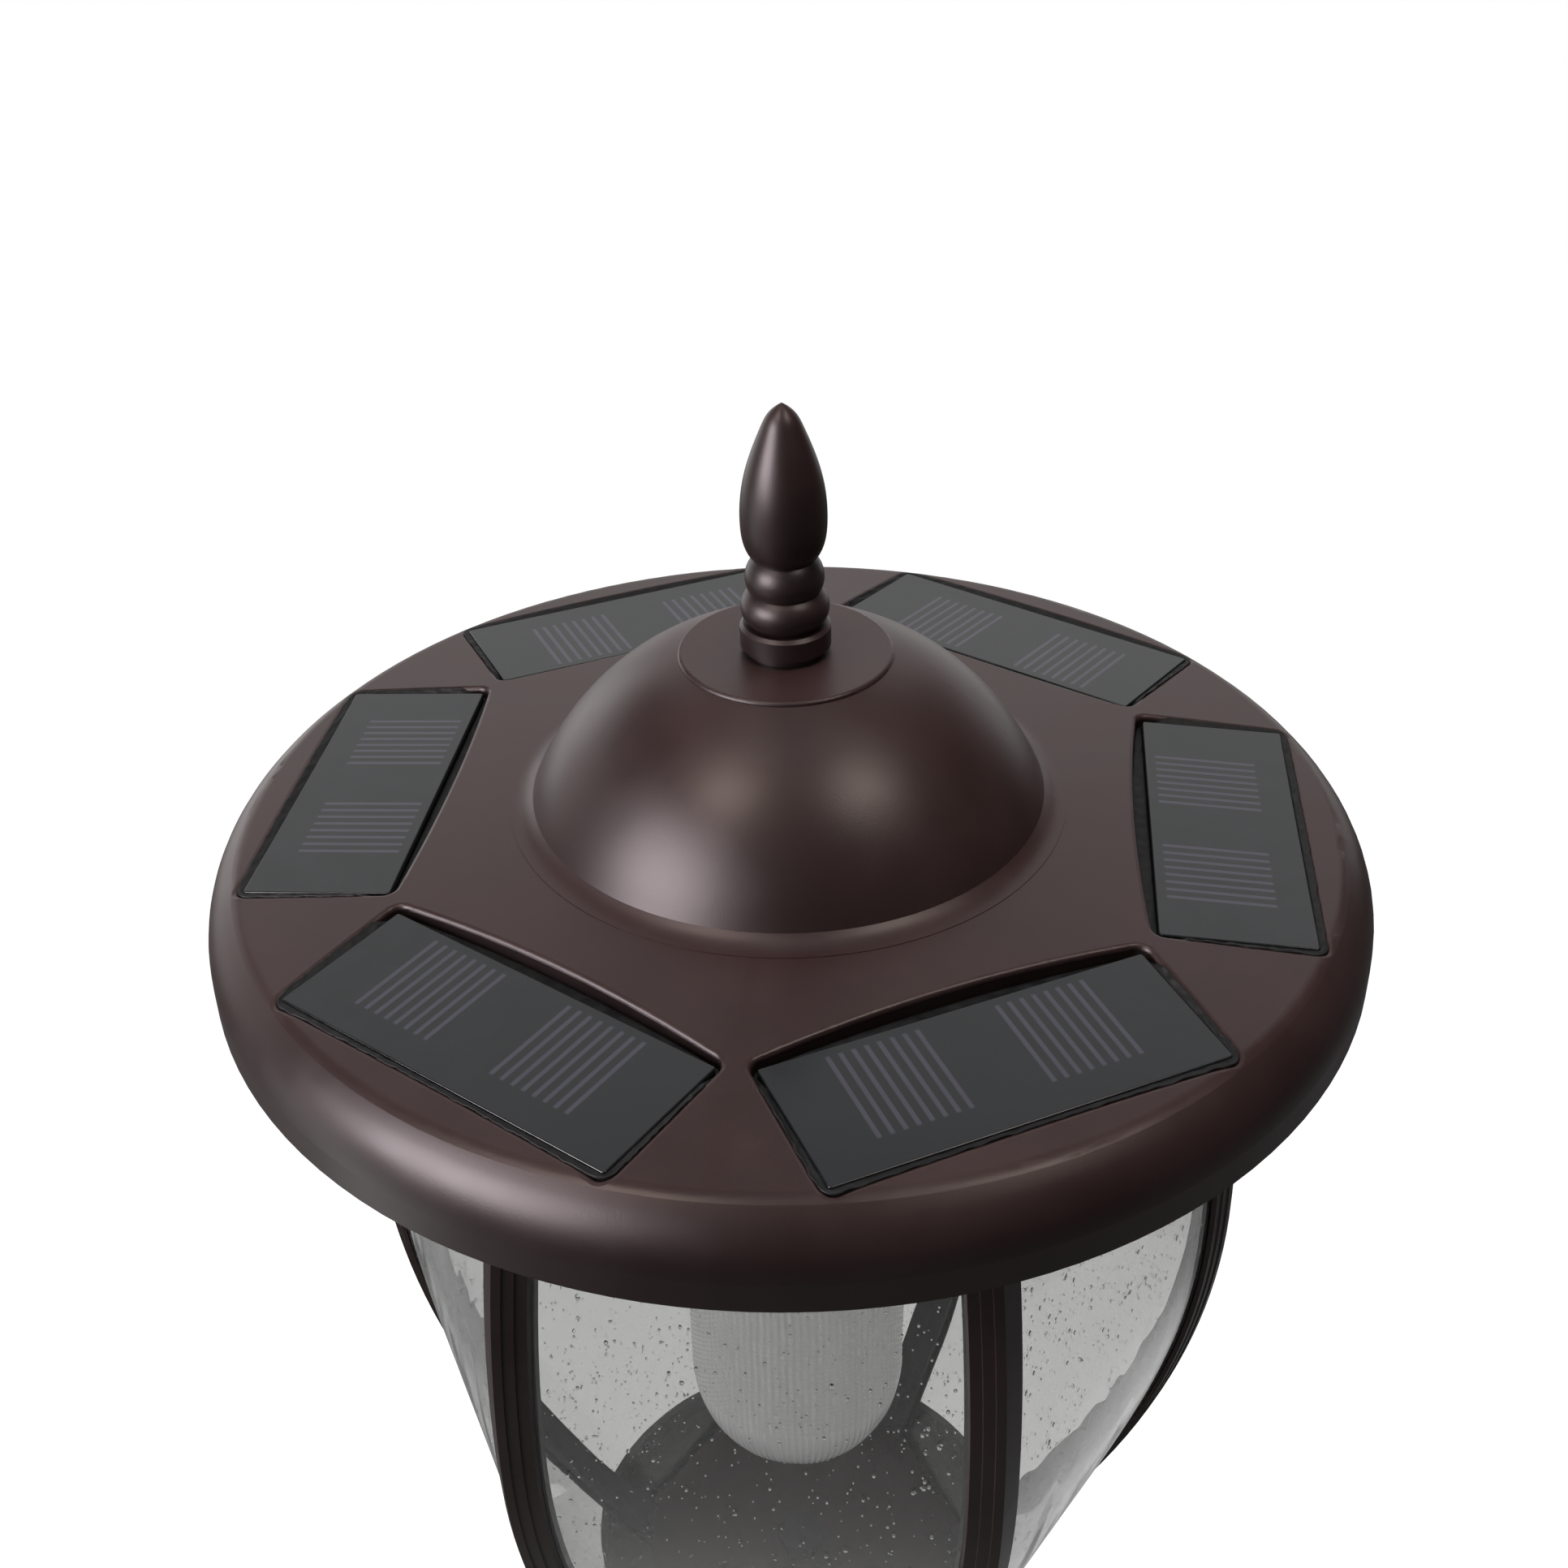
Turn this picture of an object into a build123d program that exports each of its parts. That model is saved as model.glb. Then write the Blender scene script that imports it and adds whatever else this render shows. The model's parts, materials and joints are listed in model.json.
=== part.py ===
"""Solar lamp post: a fluted post, a six-sided glass lantern and a round roof with solar panels.

Millimetres, +Z up. The origin is the centre of the base's underside, and one pane faces -Y.
Each piece is a function that returns its solid where it stands in the finished post.
"""
import os
from math import cos, radians, sin, sqrt, tan

from build123d import *

# Fits and clearances
running_clearance = 0.06
slip_clearance = 0.3
screw_clearance = 0.1
glass_clearance = 0.2
door_clearance = 0.5
contact_clearance = 0.3
screw_head_share = 1.9

# Base casting
foot_radius = 130.0
foot_thickness = 14.0
foot_edge_round = 4.0
anchor_hole_radius = 5.5
anchor_count = 4
plinth_radius = 90.0
plinth_height = 26.0
plinth_step = 10.0
bell_height = 150.0
neck_wall = 11.0
neck_height = 110.0
bead_radius = 8.0
bead_height = 4.5
bell_waist_share = 0.28
base_wall = 7.0
web_thickness = 10.0

# Post tubes
lower_post_radius = 44.5
lower_post_wall = 5.0
lower_post_length = 694.0
upper_post_radius = 38.1
upper_post_wall = 4.5
upper_post_length = 522.0
flute_count = 16
flute_radius = 5.0
flute_depth = 2.2
socket_depth = 32.0
collar_wall = 9.0

# Capital and fitter
spigot_radius = 38.0
spigot_length = 68.0
spigot_wall = 6.0
spigot_groove_depth = 2.0
spigot_groove_width = 9.0
fitter_length = 80.0
fitter_wall = 8.0
fitter_web = 10.0
clamp_screw_radius = 3.0
clamp_screw_count = 3

# Tie rod
tie_rod_radius = 6.0
tie_nut_radius = 11.0
tie_nut_height = 10.0
tie_washer_radius = 15.0
tie_washer_thickness = 2.5
tie_rod_end = 6.0

# Lower cup and its centre bolt
cup_height = 64.0
cup_rim_clearance = 3.0
cup_rim_lip = 8.0
cup_wall = 3.0
cup_swell_share = 0.8
cup_foot_overhang = 2.0
pane_ring_thickness = 6.0
cup_bolt_radius = 5.0
cup_bolt_head_height = 6.0

# Lantern, as seen at its six corners
side_count = 6
belly_radius = 151.0
belly_below_skirt = 133.0
upper_bow = 534.0
lower_bow = 279.0
rib_top_below_skirt = 22.0
rib_foot_below_skirt = 330.0
rib_sheet = 1.5
reed_widths = (17.0, 11.0, 5.0)
reed_step = 0.5
rib_foot_height = 6.0
rib_foot_toe = 11.0
rib_head_height = 8.0
rib_head_width = 10.0
rib_head_out = 4.0
rib_screw_radius = 1.5
rib_screw_depth = 5.0
glass_thickness = 3.0
pane_joint_gap = 1.5
strip_width = 13.0
strip_thickness = 2.5

# Top ring and thumb screws
top_plate_thickness = 8.0
top_ring_overhang = 7.0
top_collar_wall = 16.0
top_hole_radius = 103.0
liner_above_skirt = 2.0
thumb_screw_radius = 2.5
thumb_head_radius = 6.5
thumb_head_length = 9.0
thumb_screw_count = 3
thumb_knurl_count = 18
thumb_knurl_radius = 0.65

# Roof brim
roof_radius = 178.0
skirt_height = 9.1
rim_round = 21.9
rim_break = 36.0
brow_round = 7.0
roof_slope = 5.5
roof_wall = 2.5
dome_land_radius = 85.0
boss_radius = 4.5
boss_margin = 2.0

# Solar panels
panel_spacing = 5.3
panel_width = 43.0
panel_thickness = 3.2
panel_bed = 0.8
panel_rim_margin = 11.4
panel_recess = 1.7
panel_tilt = 3.0
pocket_gap = 2.6
pocket_bow = 3.2
pocket_corner = 4.0
pocket_lip_round = 1.5
pan_wall = 2.0
panel_corner = 1.0
seal_clearance = 0.1
seal_below_glass = 0.5

# Dome and finial
dome_centre_above_skirt = 4.7
dome_wall = 2.2
dome_flare_height = 3.2
dome_flare_width = 7.0
dome_flare_sag = 0.7
dome_lip = 0.2
dome_flange_width = 15.0
crown_radius = 32.0
crown_rise = 1.3
crown_edge_round = 1.2
dome_screw_radius = 1.4
dome_screw_inset = 3.6
dome_screw_count = 3
stud_radius = 3.0
stud_length = 20.0
stud_head_radius = 8.0
stud_head_height = 4.0
washer_radius = 11.5
washer_thickness = 2.3
finial_collar_radius = 13.4
finial_collar_height = 6.9
finial_collar_chamfer = 1.0
finial_bead_radius = 13.0
finial_bead_height = 10.3
finial_waist_radius = 10.4
finial_small_bead_radius = 11.5
finial_small_bead_height = 10.3
finial_neck_radius = 9.0
flame_radius = 12.5
flame_height = 46.8
flame_belly_share = 0.26
flame_shoulder_share = 0.60
flame_shoulder_radius = 10.3
flame_brow_share = 0.85
flame_brow_radius = 5.95
flame_start_slope = (1.0, 1.0)
flame_tip_slope = (-1.0, 0.6)
stud_bore_spare = 0.8

# Liner and electronics housing
liner_thickness = 1.5
liner_edge_clearance = 3.0
liner_collar_depth = 14.0
liner_collar_wall = 2.5
liner_collar_clearance = 0.5
liner_screw_radius = 1.7
liner_screw_grip = 8.0
liner_screw_count = 6
flange_screw_count = 4
housing_clearance = 3.0
housing_depth = 47.0
housing_wall = 2.5
housing_floor = 3.0
housing_flange_width = 10.0
housing_flange_thickness = 3.0
gasket_thickness = 1.0

# Battery bay and door
cell_radius = 9.1
cell_length = 65.0
cell_gap = 0.6
cell_nub = 0.8
bay_end_room = 3.0
bay_wall = 2.0
bay_height = 20.0
bay_margin = 2.5
contact_thickness = 0.8
contact_width = 12.0
door_thickness = 2.0
door_pin_radius = 1.2
knuckle_radius = 2.6
knuckle_drop = 0.4
knuckle_length = 10.0
knuckle_gap = 0.4

# Switch and control board
switch_y = -72.0
switch_body_length = 20.0
switch_body_width = 8.0
switch_body_height = 6.0
switch_travel = 4.0
knob_length = 5.0
knob_width = 3.2
knob_below_floor = 2.6
knob_into_body = 2.0
knob_clearance = 0.3
knob_ridge = 0.8
board_length = 76.0
board_width = 44.0
board_thickness = 1.6
board_centre_y = -26.0
board_stand_off = 18.0
stand_off_radius = 3.5
chip_height = 4.0

# LED board and diffuser
led_board_clearance = 3.0
led_board_thickness = 1.6
led_radius = 2.5
led_height = 2.0
led_ring_radius = 19.0
led_ring_count = 6
diffuser_radius = 39.5
diffuser_wall = 2.5
diffuser_bottom_below_skirt = 257.0
diffuser_flange_width = 3.0
diffuser_flange_thickness = 3.0
bezel_land = 5.0
bezel_thickness = 3.0
bezel_screw_radius = 1.2
bezel_screw_count = 4

ON_BASE = (Align.CENTER, Align.CENTER, Align.MIN)
reach = 2 * roof_radius
edge_tolerance = 0.02


def bow_drop(bow, rise):
    """How far an arc of radius bow falls back from its tangent after a rise."""
    return bow - sqrt(bow**2 - rise**2)


def bow_through(rise, drop):
    """Radius of the arc that falls back by drop after a rise."""
    return (rise**2 + drop**2) / (2 * drop)


# Heights on the post, from the ground up
half_step = 180.0 / side_count
plinth_top = foot_thickness + plinth_height
neck_bottom = plinth_top + bell_height
neck_top = neck_bottom + neck_height
web_bottom = neck_bottom - web_thickness
lower_post_top = neck_bottom + lower_post_length
upper_post_bottom = lower_post_top + web_thickness
upper_post_top = upper_post_bottom + upper_post_length
collar_bottom = lower_post_top - socket_depth
collar_top = upper_post_bottom + socket_depth
capital_bottom = upper_post_top - socket_depth
capital_web_top = upper_post_top + web_thickness
shoulder_level = capital_web_top + tie_nut_height
spigot_top = shoulder_level + spigot_length
clamp_level = shoulder_level + spigot_length / 2
fitter_top = shoulder_level + fitter_length
pane_ring_bottom = fitter_top + cup_height
rib_foot_level = pane_ring_bottom + pane_ring_thickness
skirt_level = rib_foot_level + rib_foot_below_skirt
low_nut_top = web_bottom - tie_washer_thickness
high_nut_bottom = capital_web_top + tie_washer_thickness
neck_screw_level = neck_top - socket_depth / 2
collar_low_screw_level = collar_bottom + socket_depth / 2
collar_high_screw_level = collar_top - socket_depth / 2
capital_screw_level = capital_bottom + socket_depth / 2

# Radii on the post
low_bore = lower_post_radius + slip_clearance
high_bore = upper_post_radius + slip_clearance
neck_radius = low_bore + neck_wall
bell_radius = plinth_radius - plinth_step
anchor_circle_radius = (plinth_radius + foot_radius) / 2
lower_collar_radius = low_bore + collar_wall
upper_collar_radius = high_bore + collar_wall
fitter_radius = spigot_radius + fitter_wall
cup_bolt_bore = cup_bolt_radius + slip_clearance
tie_rod_bore = tie_rod_radius + slip_clearance

# Lantern: the panes follow the ribs at the belly and at both ends
belly_level = skirt_level - belly_below_skirt
rib_top_level = skirt_level - rib_top_below_skirt
pane_bottom = rib_foot_level + rib_foot_height + glass_clearance
pane_top = rib_top_level - glass_clearance
corner_share = cos(radians(half_step))
rib_width = max(reed_widths)
rib_thickness = rib_sheet + reed_step * (len(reed_widths) - 1)
rib_depth = (glass_clearance + rib_thickness) / corner_share
pane_belly = (belly_radius - rib_depth) * corner_share
upper_rise = rib_top_level - belly_level
lower_rise = belly_level - rib_foot_level
pane_upper_bow = bow_through(upper_rise, bow_drop(upper_bow, upper_rise) * corner_share)
pane_lower_bow = bow_through(lower_rise, bow_drop(lower_bow, lower_rise) * corner_share)
pane_foot_drop = bow_drop(pane_lower_bow, belly_level - pane_bottom)
pane_foot_corner = (pane_belly - pane_foot_drop) / corner_share
rib_top_radius = belly_radius - bow_drop(upper_bow, upper_rise)
rib_foot_inner_radius = pane_foot_corner - rib_foot_toe
rib_screw_foot_radius = rib_foot_inner_radius + 3 * rib_screw_radius
rib_head_radius = rib_top_radius + rib_head_out
rib_screw_top_radius = rib_head_radius - screw_head_share * rib_screw_radius
cup_lip_top = rib_foot_level + cup_rim_lip
cup_rim_inner = belly_radius - bow_drop(lower_bow, belly_level - cup_lip_top) + cup_rim_clearance
cup_rim_radius = cup_rim_inner + cup_wall
cup_foot_radius = fitter_radius + cup_foot_overhang

# Top ring, liner and housing
top_plate_top = rib_top_level + top_plate_thickness
liner_level = skirt_level + liner_above_skirt
liner_top = liner_level + liner_thickness
thumb_level = (top_plate_top + liner_level) / 2
top_ring_corner_radius = rib_top_radius + top_ring_overhang
top_collar_radius = top_hole_radius + top_collar_wall
liner_collar_radius = top_hole_radius - liner_collar_clearance
liner_hole_radius = liner_collar_radius - liner_collar_wall
liner_radius = roof_radius - roof_wall - liner_edge_clearance
housing_radius = liner_hole_radius - housing_clearance
flange_radius = liner_collar_radius + housing_flange_width
flange_bottom = liner_top + gasket_thickness
flange_top = flange_bottom + housing_flange_thickness
flange_screw_circle = (liner_collar_radius + flange_radius) / 2
housing_bottom = liner_top - housing_depth
floor_top = housing_bottom + housing_floor
boss_circle_radius = liner_radius - boss_radius - boss_margin

# Roof, panels and dome
rim_centre_radius = roof_radius - rim_round
rim_centre_level = skirt_level + skirt_height
rim_break_radius = rim_centre_radius + rim_round * sin(radians(rim_break))
brow_centre_radius = rim_centre_radius + (rim_round - brow_round) * sin(radians(rim_break))
brow_centre_level = rim_centre_level + (rim_round - brow_round) * cos(radians(rim_break))
rim_top_level = brow_centre_level + brow_round * cos(radians(roof_slope))
rim_top_radius = brow_centre_radius + brow_round * sin(radians(roof_slope))
land_level = rim_top_level + (rim_top_radius - dome_land_radius) * tan(radians(roof_slope))
roof_hole_radius = dome_land_radius - dome_flange_width
panel_centre_radius = rim_top_radius - panel_rim_margin - panel_width / 2
panel_surface = rim_top_level + (rim_top_radius - panel_centre_radius) * tan(radians(roof_slope))
panel_level = panel_surface - panel_recess
pocket_inner_radius = panel_centre_radius - panel_width / 2 - pocket_gap
pocket_half_length = pocket_inner_radius * tan(radians(half_step)) - panel_spacing / 2 / corner_share
panel_length = 2 * (pocket_half_length - pocket_gap)
pocket_floor = -(panel_thickness + panel_bed)
dome_centre = skirt_level + dome_centre_above_skirt
dome_flare_top = land_level + dome_flare_height
dome_foot_radius = dome_land_radius - dome_flare_width
dome_radius = sqrt(dome_foot_radius**2 + (dome_flare_top - dome_centre)**2)
dome_inner_radius = dome_radius - dome_wall
crown_shoulder = dome_centre + sqrt(dome_radius**2 - crown_radius**2)
crown_level = crown_shoulder + crown_rise
crown_underside = crown_level - dome_wall
dome_screw_circle_radius = roof_hole_radius + dome_screw_inset
finial_bottom = crown_level + washer_thickness

# Diffuser, battery bay, switch and board
diffuser_flange_radius = diffuser_radius + diffuser_flange_width
diffuser_flange_bottom = housing_bottom - diffuser_flange_thickness
led_board_radius = diffuser_radius - diffuser_wall - led_board_clearance
bezel_radius = diffuser_flange_radius + bezel_land
bezel_bottom = diffuser_flange_bottom - bezel_thickness
bezel_screw_circle = (diffuser_flange_radius + bezel_radius) / 2
bay_half_x = cell_length / 2 + bay_end_room
bay_inner_y = bezel_radius + bay_margin
bay_outer_y = bay_inner_y + 4 * cell_radius + 2 * cell_gap
bay_top = floor_top + bay_height
cell_level = housing_bottom + door_thickness + cell_gap + cell_radius
first_cell_y = bay_inner_y + cell_gap / 2 + cell_radius
second_cell_y = first_cell_y + 2 * cell_radius + cell_gap
hinge_y = bay_outer_y + knuckle_radius
hinge_level = housing_bottom - knuckle_radius - knuckle_drop
stand_off_half_x = board_length / 2 - stand_off_radius
stand_off_half_y = board_width / 2 - stand_off_radius
board_level = floor_top + board_stand_off
slot_half_length = (knob_length + switch_travel) / 2 + knob_clearance
slot_half_width = knob_width / 2 + knob_clearance


def round_bar(radius, bottom, top):
    """A round bar on the post's axis between two heights."""
    return Pos(0, 0, bottom) * Cylinder(radius, top - bottom, align=ON_BASE)


def ring(outer, inner, bottom, top):
    """A plain ring on the post's axis between two heights."""
    return round_bar(outer, bottom, top) - round_bar(inner, bottom, top)


def block(x_range, y_range, z_range):
    """A box between two limits on each axis."""
    size = [high - low for low, high in (x_range, y_range, z_range)]
    centre = [(high + low) / 2 for low, high in (x_range, y_range, z_range)]
    return Pos(*centre) * Box(*size)


def turned(curve):
    """A closed profile of radius and height, turned about the post's axis."""
    return revolve(Plane.XZ * make_face(curve), Axis.Z)


def around(shape, count, start=0.0):
    """Copies of a shape, evenly spaced about the post's axis."""
    return [Rot(0, 0, start + 360.0 * turn / count) * shape for turn in range(count)]


def cut_all(solid, tools):
    """The solid with every tool cut away."""
    for tool in tools:
        solid = solid - tool
    return solid


def join_all(solid, pieces):
    """The solid with every piece joined to it."""
    for piece in pieces:
        solid = solid + piece
    return solid


def group(pieces):
    """Separate solids that share one node."""
    return Compound(children=list(pieces))


def hexagon_bar(radius, bottom, top):
    """A six-sided bar on the post's axis, with a corner on +X."""
    return Pos(0, 0, bottom) * extrude(RegularPolygon(radius, 6), top - bottom)


def radial(shape, height):
    """Lay a shape made along +Z out along +X, at a height on the post."""
    return Pos(0, 0, height) * Rot(0, 90, 0) * shape


def cap_screw(shank_radius, shank_length, head_radius, head_height):
    """A socket screw: its head stands on the origin plane and its shank points down."""
    head = Cylinder(head_radius, head_height, align=ON_BASE)
    shank = Pos(0, 0, -shank_length) * Cylinder(shank_radius, shank_length, align=ON_BASE)
    socket = Pos(0, 0, head_height / 2) * extrude(RegularPolygon(head_radius / 2, 6), head_height)
    return head + shank - socket


def grub_screw(radius, length):
    """A headless screw along +Z from the origin, with a hexagon socket in its outer end."""
    bar = Cylinder(radius, length, align=ON_BASE)
    socket = Pos(0, 0, length / 2) * extrude(RegularPolygon(radius / 2, 6), length)
    return bar - socket


def flutes(radius, bottom, top):
    """Rounded grooves down the outside of a post tube."""
    centre = radius + flute_radius - flute_depth
    groove = Pos(centre, 0, bottom) * Cylinder(flute_radius, top - bottom, align=ON_BASE)
    return around(groove, flute_count, 180.0 / flute_count)


def post_tube(radius, wall, bottom, top):
    """A fluted tube, with a plain end in each socket."""
    tube = ring(radius, radius - wall, bottom, top)
    return cut_all(tube, flutes(radius, bottom + socket_depth, top - socket_depth))


def post_screw_holes(outer, inner, height):
    """Three radial screw holes through a socket wall."""
    hole = Cylinder(clamp_screw_radius + screw_clearance, outer - inner + 2 * slip_clearance,
                    align=ON_BASE)
    return around(radial(Pos(0, 0, inner - slip_clearance) * hole, height), clamp_screw_count)


def post_screw_set(outer, inner, height):
    """Three grub screws that stop flush in a socket wall."""
    screw = grub_screw(clamp_screw_radius, outer - inner - contact_clearance)
    return around(radial(Pos(0, 0, inner + contact_clearance) * screw, height), clamp_screw_count)


def base_casting():
    """Round foot, plinth, concave bell and a neck that takes the lower tube."""
    foot_top = foot_thickness
    bell_middle = (neck_radius + (bell_radius - neck_radius) * bell_waist_share,
                   plinth_top + bell_height / 2)
    bead_outer = neck_radius + bead_height
    corner = foot_edge_round * (1 - cos(radians(45)))
    edge_start = (foot_radius, foot_top - foot_edge_round)
    edge_end = (foot_radius - foot_edge_round, foot_top)
    profile = Polyline((0, 0), (foot_radius, 0), edge_start)
    profile += ThreePointArc(edge_start, (foot_radius - corner, foot_top - corner), edge_end)
    profile += Polyline(
        edge_end, (plinth_radius, foot_top), (plinth_radius, plinth_top), (bell_radius, plinth_top))
    profile += ThreePointArc((bell_radius, plinth_top), bell_middle, (neck_radius, neck_bottom))
    profile += ThreePointArc(
        (neck_radius, neck_bottom), (bead_outer, neck_bottom + bead_radius),
        (neck_radius, neck_bottom + 2 * bead_radius))
    profile += Line((neck_radius, neck_bottom + 2 * bead_radius), (neck_radius, neck_top - 2 * bead_radius))
    profile += ThreePointArc(
        (neck_radius, neck_top - 2 * bead_radius), (bead_outer, neck_top - bead_radius),
        (neck_radius, neck_top))
    profile += Polyline((neck_radius, neck_top), (0, neck_top), (0, 0))
    hollow_radius = neck_radius - 2 * base_wall
    hollow = Polyline(
        (0, -foot_thickness), (bell_radius - base_wall, -foot_thickness),
        (bell_radius - base_wall, plinth_top), (hollow_radius, bell_middle[1]),
        (hollow_radius, web_bottom), (0, web_bottom), close=True)
    anchor_hole = Pos(anchor_circle_radius, 0, 0) * Cylinder(anchor_hole_radius, 3 * foot_thickness)
    casting = turned(profile) - turned(hollow)
    casting = casting - round_bar(low_bore, neck_bottom, neck_top)
    casting = casting - round_bar(tie_rod_bore, web_bottom, neck_bottom)
    casting = cut_all(casting, around(anchor_hole, anchor_count, 180.0 / anchor_count))
    return cut_all(casting, post_screw_holes(neck_radius, low_bore, neck_screw_level))


def lower_post():
    """Lower fluted tube, standing on the base's web."""
    return post_tube(lower_post_radius, lower_post_wall, neck_bottom, lower_post_top)


def upper_post():
    """Upper fluted tube, standing on the collar's web."""
    return post_tube(upper_post_radius, upper_post_wall, upper_post_bottom, upper_post_top)


def post_collar():
    """Stepped collar with a socket for each tube and a web between them."""
    rim = lower_collar_radius + bead_height
    bead_end = (lower_collar_radius, lower_post_top + bead_radius)
    waist = upper_collar_radius + (lower_collar_radius - upper_collar_radius) / 4
    bead_start = (lower_collar_radius, lower_post_top - bead_radius)
    top_edge = (upper_collar_radius, collar_top)
    profile = Polyline((0, collar_bottom), (lower_collar_radius, collar_bottom), bead_start)
    profile += ThreePointArc(bead_start, (rim, lower_post_top), bead_end)
    profile += ThreePointArc(bead_end, (waist, (bead_end[1] + collar_top) / 2), top_edge)
    profile += Polyline(top_edge, (0, collar_top), (0, collar_bottom))
    collar = turned(profile)
    collar = collar - round_bar(low_bore, collar_bottom, lower_post_top)
    collar = collar - round_bar(high_bore, upper_post_bottom, collar_top)
    collar = collar - round_bar(tie_rod_bore, lower_post_top, upper_post_bottom)
    collar = cut_all(collar, post_screw_holes(lower_collar_radius, low_bore, collar_low_screw_level))
    return cut_all(collar, post_screw_holes(lower_collar_radius, high_bore, collar_high_screw_level))


def post_capital():
    """Flared capital on the upper tube, with a plain spigot that the fitter turns on."""
    foot = upper_collar_radius
    head = fitter_radius + bead_radius
    flare_end = (head, shoulder_level - bead_height)
    flare_middle = (foot + (head - foot) / 3, (upper_post_top + shoulder_level) / 2)
    profile = Polyline((0, capital_bottom), (foot, capital_bottom), (foot, upper_post_top))
    profile += ThreePointArc((foot, upper_post_top), flare_middle, flare_end)
    profile += Polyline(
        flare_end, (head, shoulder_level), (spigot_radius, shoulder_level),
        (spigot_radius, spigot_top), (0, spigot_top), (0, capital_bottom))
    groove = ring(fitter_radius, spigot_radius - spigot_groove_depth,
                  clamp_level - spigot_groove_width / 2, clamp_level + spigot_groove_width / 2)
    capital = turned(profile) - groove
    capital = capital - round_bar(high_bore, capital_bottom, upper_post_top)
    capital = capital - round_bar(spigot_radius - spigot_wall, capital_web_top, spigot_top)
    capital = capital - round_bar(tie_rod_bore, upper_post_top, capital_web_top)
    return cut_all(capital, post_screw_holes(foot, high_bore, capital_screw_level))


def post_screws():
    """Grub screws in the base's neck, the collar and the capital."""
    screws = post_screw_set(neck_radius, low_bore, neck_screw_level)
    screws += post_screw_set(lower_collar_radius, low_bore, collar_low_screw_level)
    screws += post_screw_set(upper_collar_radius, high_bore, collar_high_screw_level)
    screws += post_screw_set(upper_collar_radius, high_bore, capital_screw_level)
    return group(screws)


def tie_rod():
    """Long rod that draws the base, the tubes and the capital together."""
    return round_bar(tie_rod_radius, low_nut_top - tie_nut_height - tie_rod_end,
                     high_nut_bottom + tie_nut_height + tie_rod_end)


def tie_rod_nuts():
    """One nut below the base's web and one above the capital's."""
    bore = tie_rod_radius + running_clearance
    low = hexagon_bar(tie_nut_radius, low_nut_top - tie_nut_height, low_nut_top)
    high = hexagon_bar(tie_nut_radius, high_nut_bottom, high_nut_bottom + tie_nut_height)
    low = low - round_bar(bore, low_nut_top - tie_nut_height, low_nut_top)
    high = high - round_bar(bore, high_nut_bottom, high_nut_bottom + tie_nut_height)
    return group([low, high])


def tie_rod_washers():
    """A washer under each tie rod nut."""
    low = ring(tie_washer_radius, tie_rod_bore, low_nut_top, web_bottom)
    high = ring(tie_washer_radius, tie_rod_bore, capital_web_top, high_nut_bottom)
    return group([low, high])


def fitter():
    """Socket that drops over the spigot, with a bead at each end."""
    rim = fitter_radius + bead_height
    profile = Line((0, shoulder_level), (fitter_radius, shoulder_level))
    profile += ThreePointArc(
        (fitter_radius, shoulder_level), (rim, shoulder_level + bead_radius),
        (fitter_radius, shoulder_level + 2 * bead_radius))
    profile += Line(
        (fitter_radius, shoulder_level + 2 * bead_radius), (fitter_radius, fitter_top - 2 * bead_radius))
    profile += ThreePointArc(
        (fitter_radius, fitter_top - 2 * bead_radius), (rim, fitter_top - bead_radius),
        (fitter_radius, fitter_top))
    profile += Polyline((fitter_radius, fitter_top), (0, fitter_top), (0, shoulder_level))
    bore = spigot_radius + running_clearance
    socket = turned(profile) - round_bar(bore, shoulder_level, fitter_top - fitter_web)
    socket = socket - round_bar(cup_bolt_bore, fitter_top - fitter_web, fitter_top)
    return cut_all(socket, post_screw_holes(fitter_radius, bore, clamp_level))


def fitter_screws():
    """Three clamp screws whose tips reach into the spigot's groove."""
    inner = spigot_radius - spigot_groove_depth + contact_clearance
    screw = grub_screw(clamp_screw_radius, fitter_radius + clamp_screw_radius - inner)
    return group(around(radial(Pos(0, 0, inner) * screw, clamp_level), clamp_screw_count))


def lower_cup():
    """Bell-shaped cup under the lantern, with a lip that stands round the rib feet."""
    middle_out = (cup_foot_radius + (cup_rim_radius - cup_foot_radius) * cup_swell_share,
                  fitter_top + cup_height / 2)
    middle_in = (middle_out[0] - cup_wall, middle_out[1] + cup_wall)
    ledge = cup_rim_radius - 4 * cup_wall
    floor = fitter_top + cup_wall
    floor_edge = (cup_foot_radius - cup_wall, floor)
    ledge_low = (ledge, pane_ring_bottom - cup_wall)
    outer = Polyline((0, fitter_top), (cup_foot_radius, fitter_top))
    outer += ThreePointArc((cup_foot_radius, fitter_top), middle_out, (cup_rim_radius, pane_ring_bottom))
    outer += Polyline((cup_rim_radius, pane_ring_bottom), (cup_rim_radius, cup_lip_top),
                      (0, cup_lip_top), (0, fitter_top))
    inner = Polyline((0, floor), floor_edge)
    inner += ThreePointArc(floor_edge, middle_in, ledge_low)
    inner += Polyline(ledge_low, (ledge, pane_ring_bottom), (0, pane_ring_bottom), (0, floor))
    cup = turned(outer) - turned(inner)
    cup = cup - round_bar(cup_rim_inner, pane_ring_bottom, cup_lip_top)
    return cup - round_bar(cup_bolt_bore, fitter_top, floor)


def pane_ring():
    """Round plate on the cup's ledge, which carries the rib feet."""
    plate = round_bar(cup_rim_inner - slip_clearance, pane_ring_bottom, rib_foot_level)
    hole = Pos(rib_screw_foot_radius, 0, pane_ring_bottom) * Cylinder(
        rib_screw_radius + screw_clearance, pane_ring_thickness, align=ON_BASE)
    plate = plate - round_bar(cup_bolt_bore, pane_ring_bottom, rib_foot_level)
    return cut_all(plate, around(hole, side_count))


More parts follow.
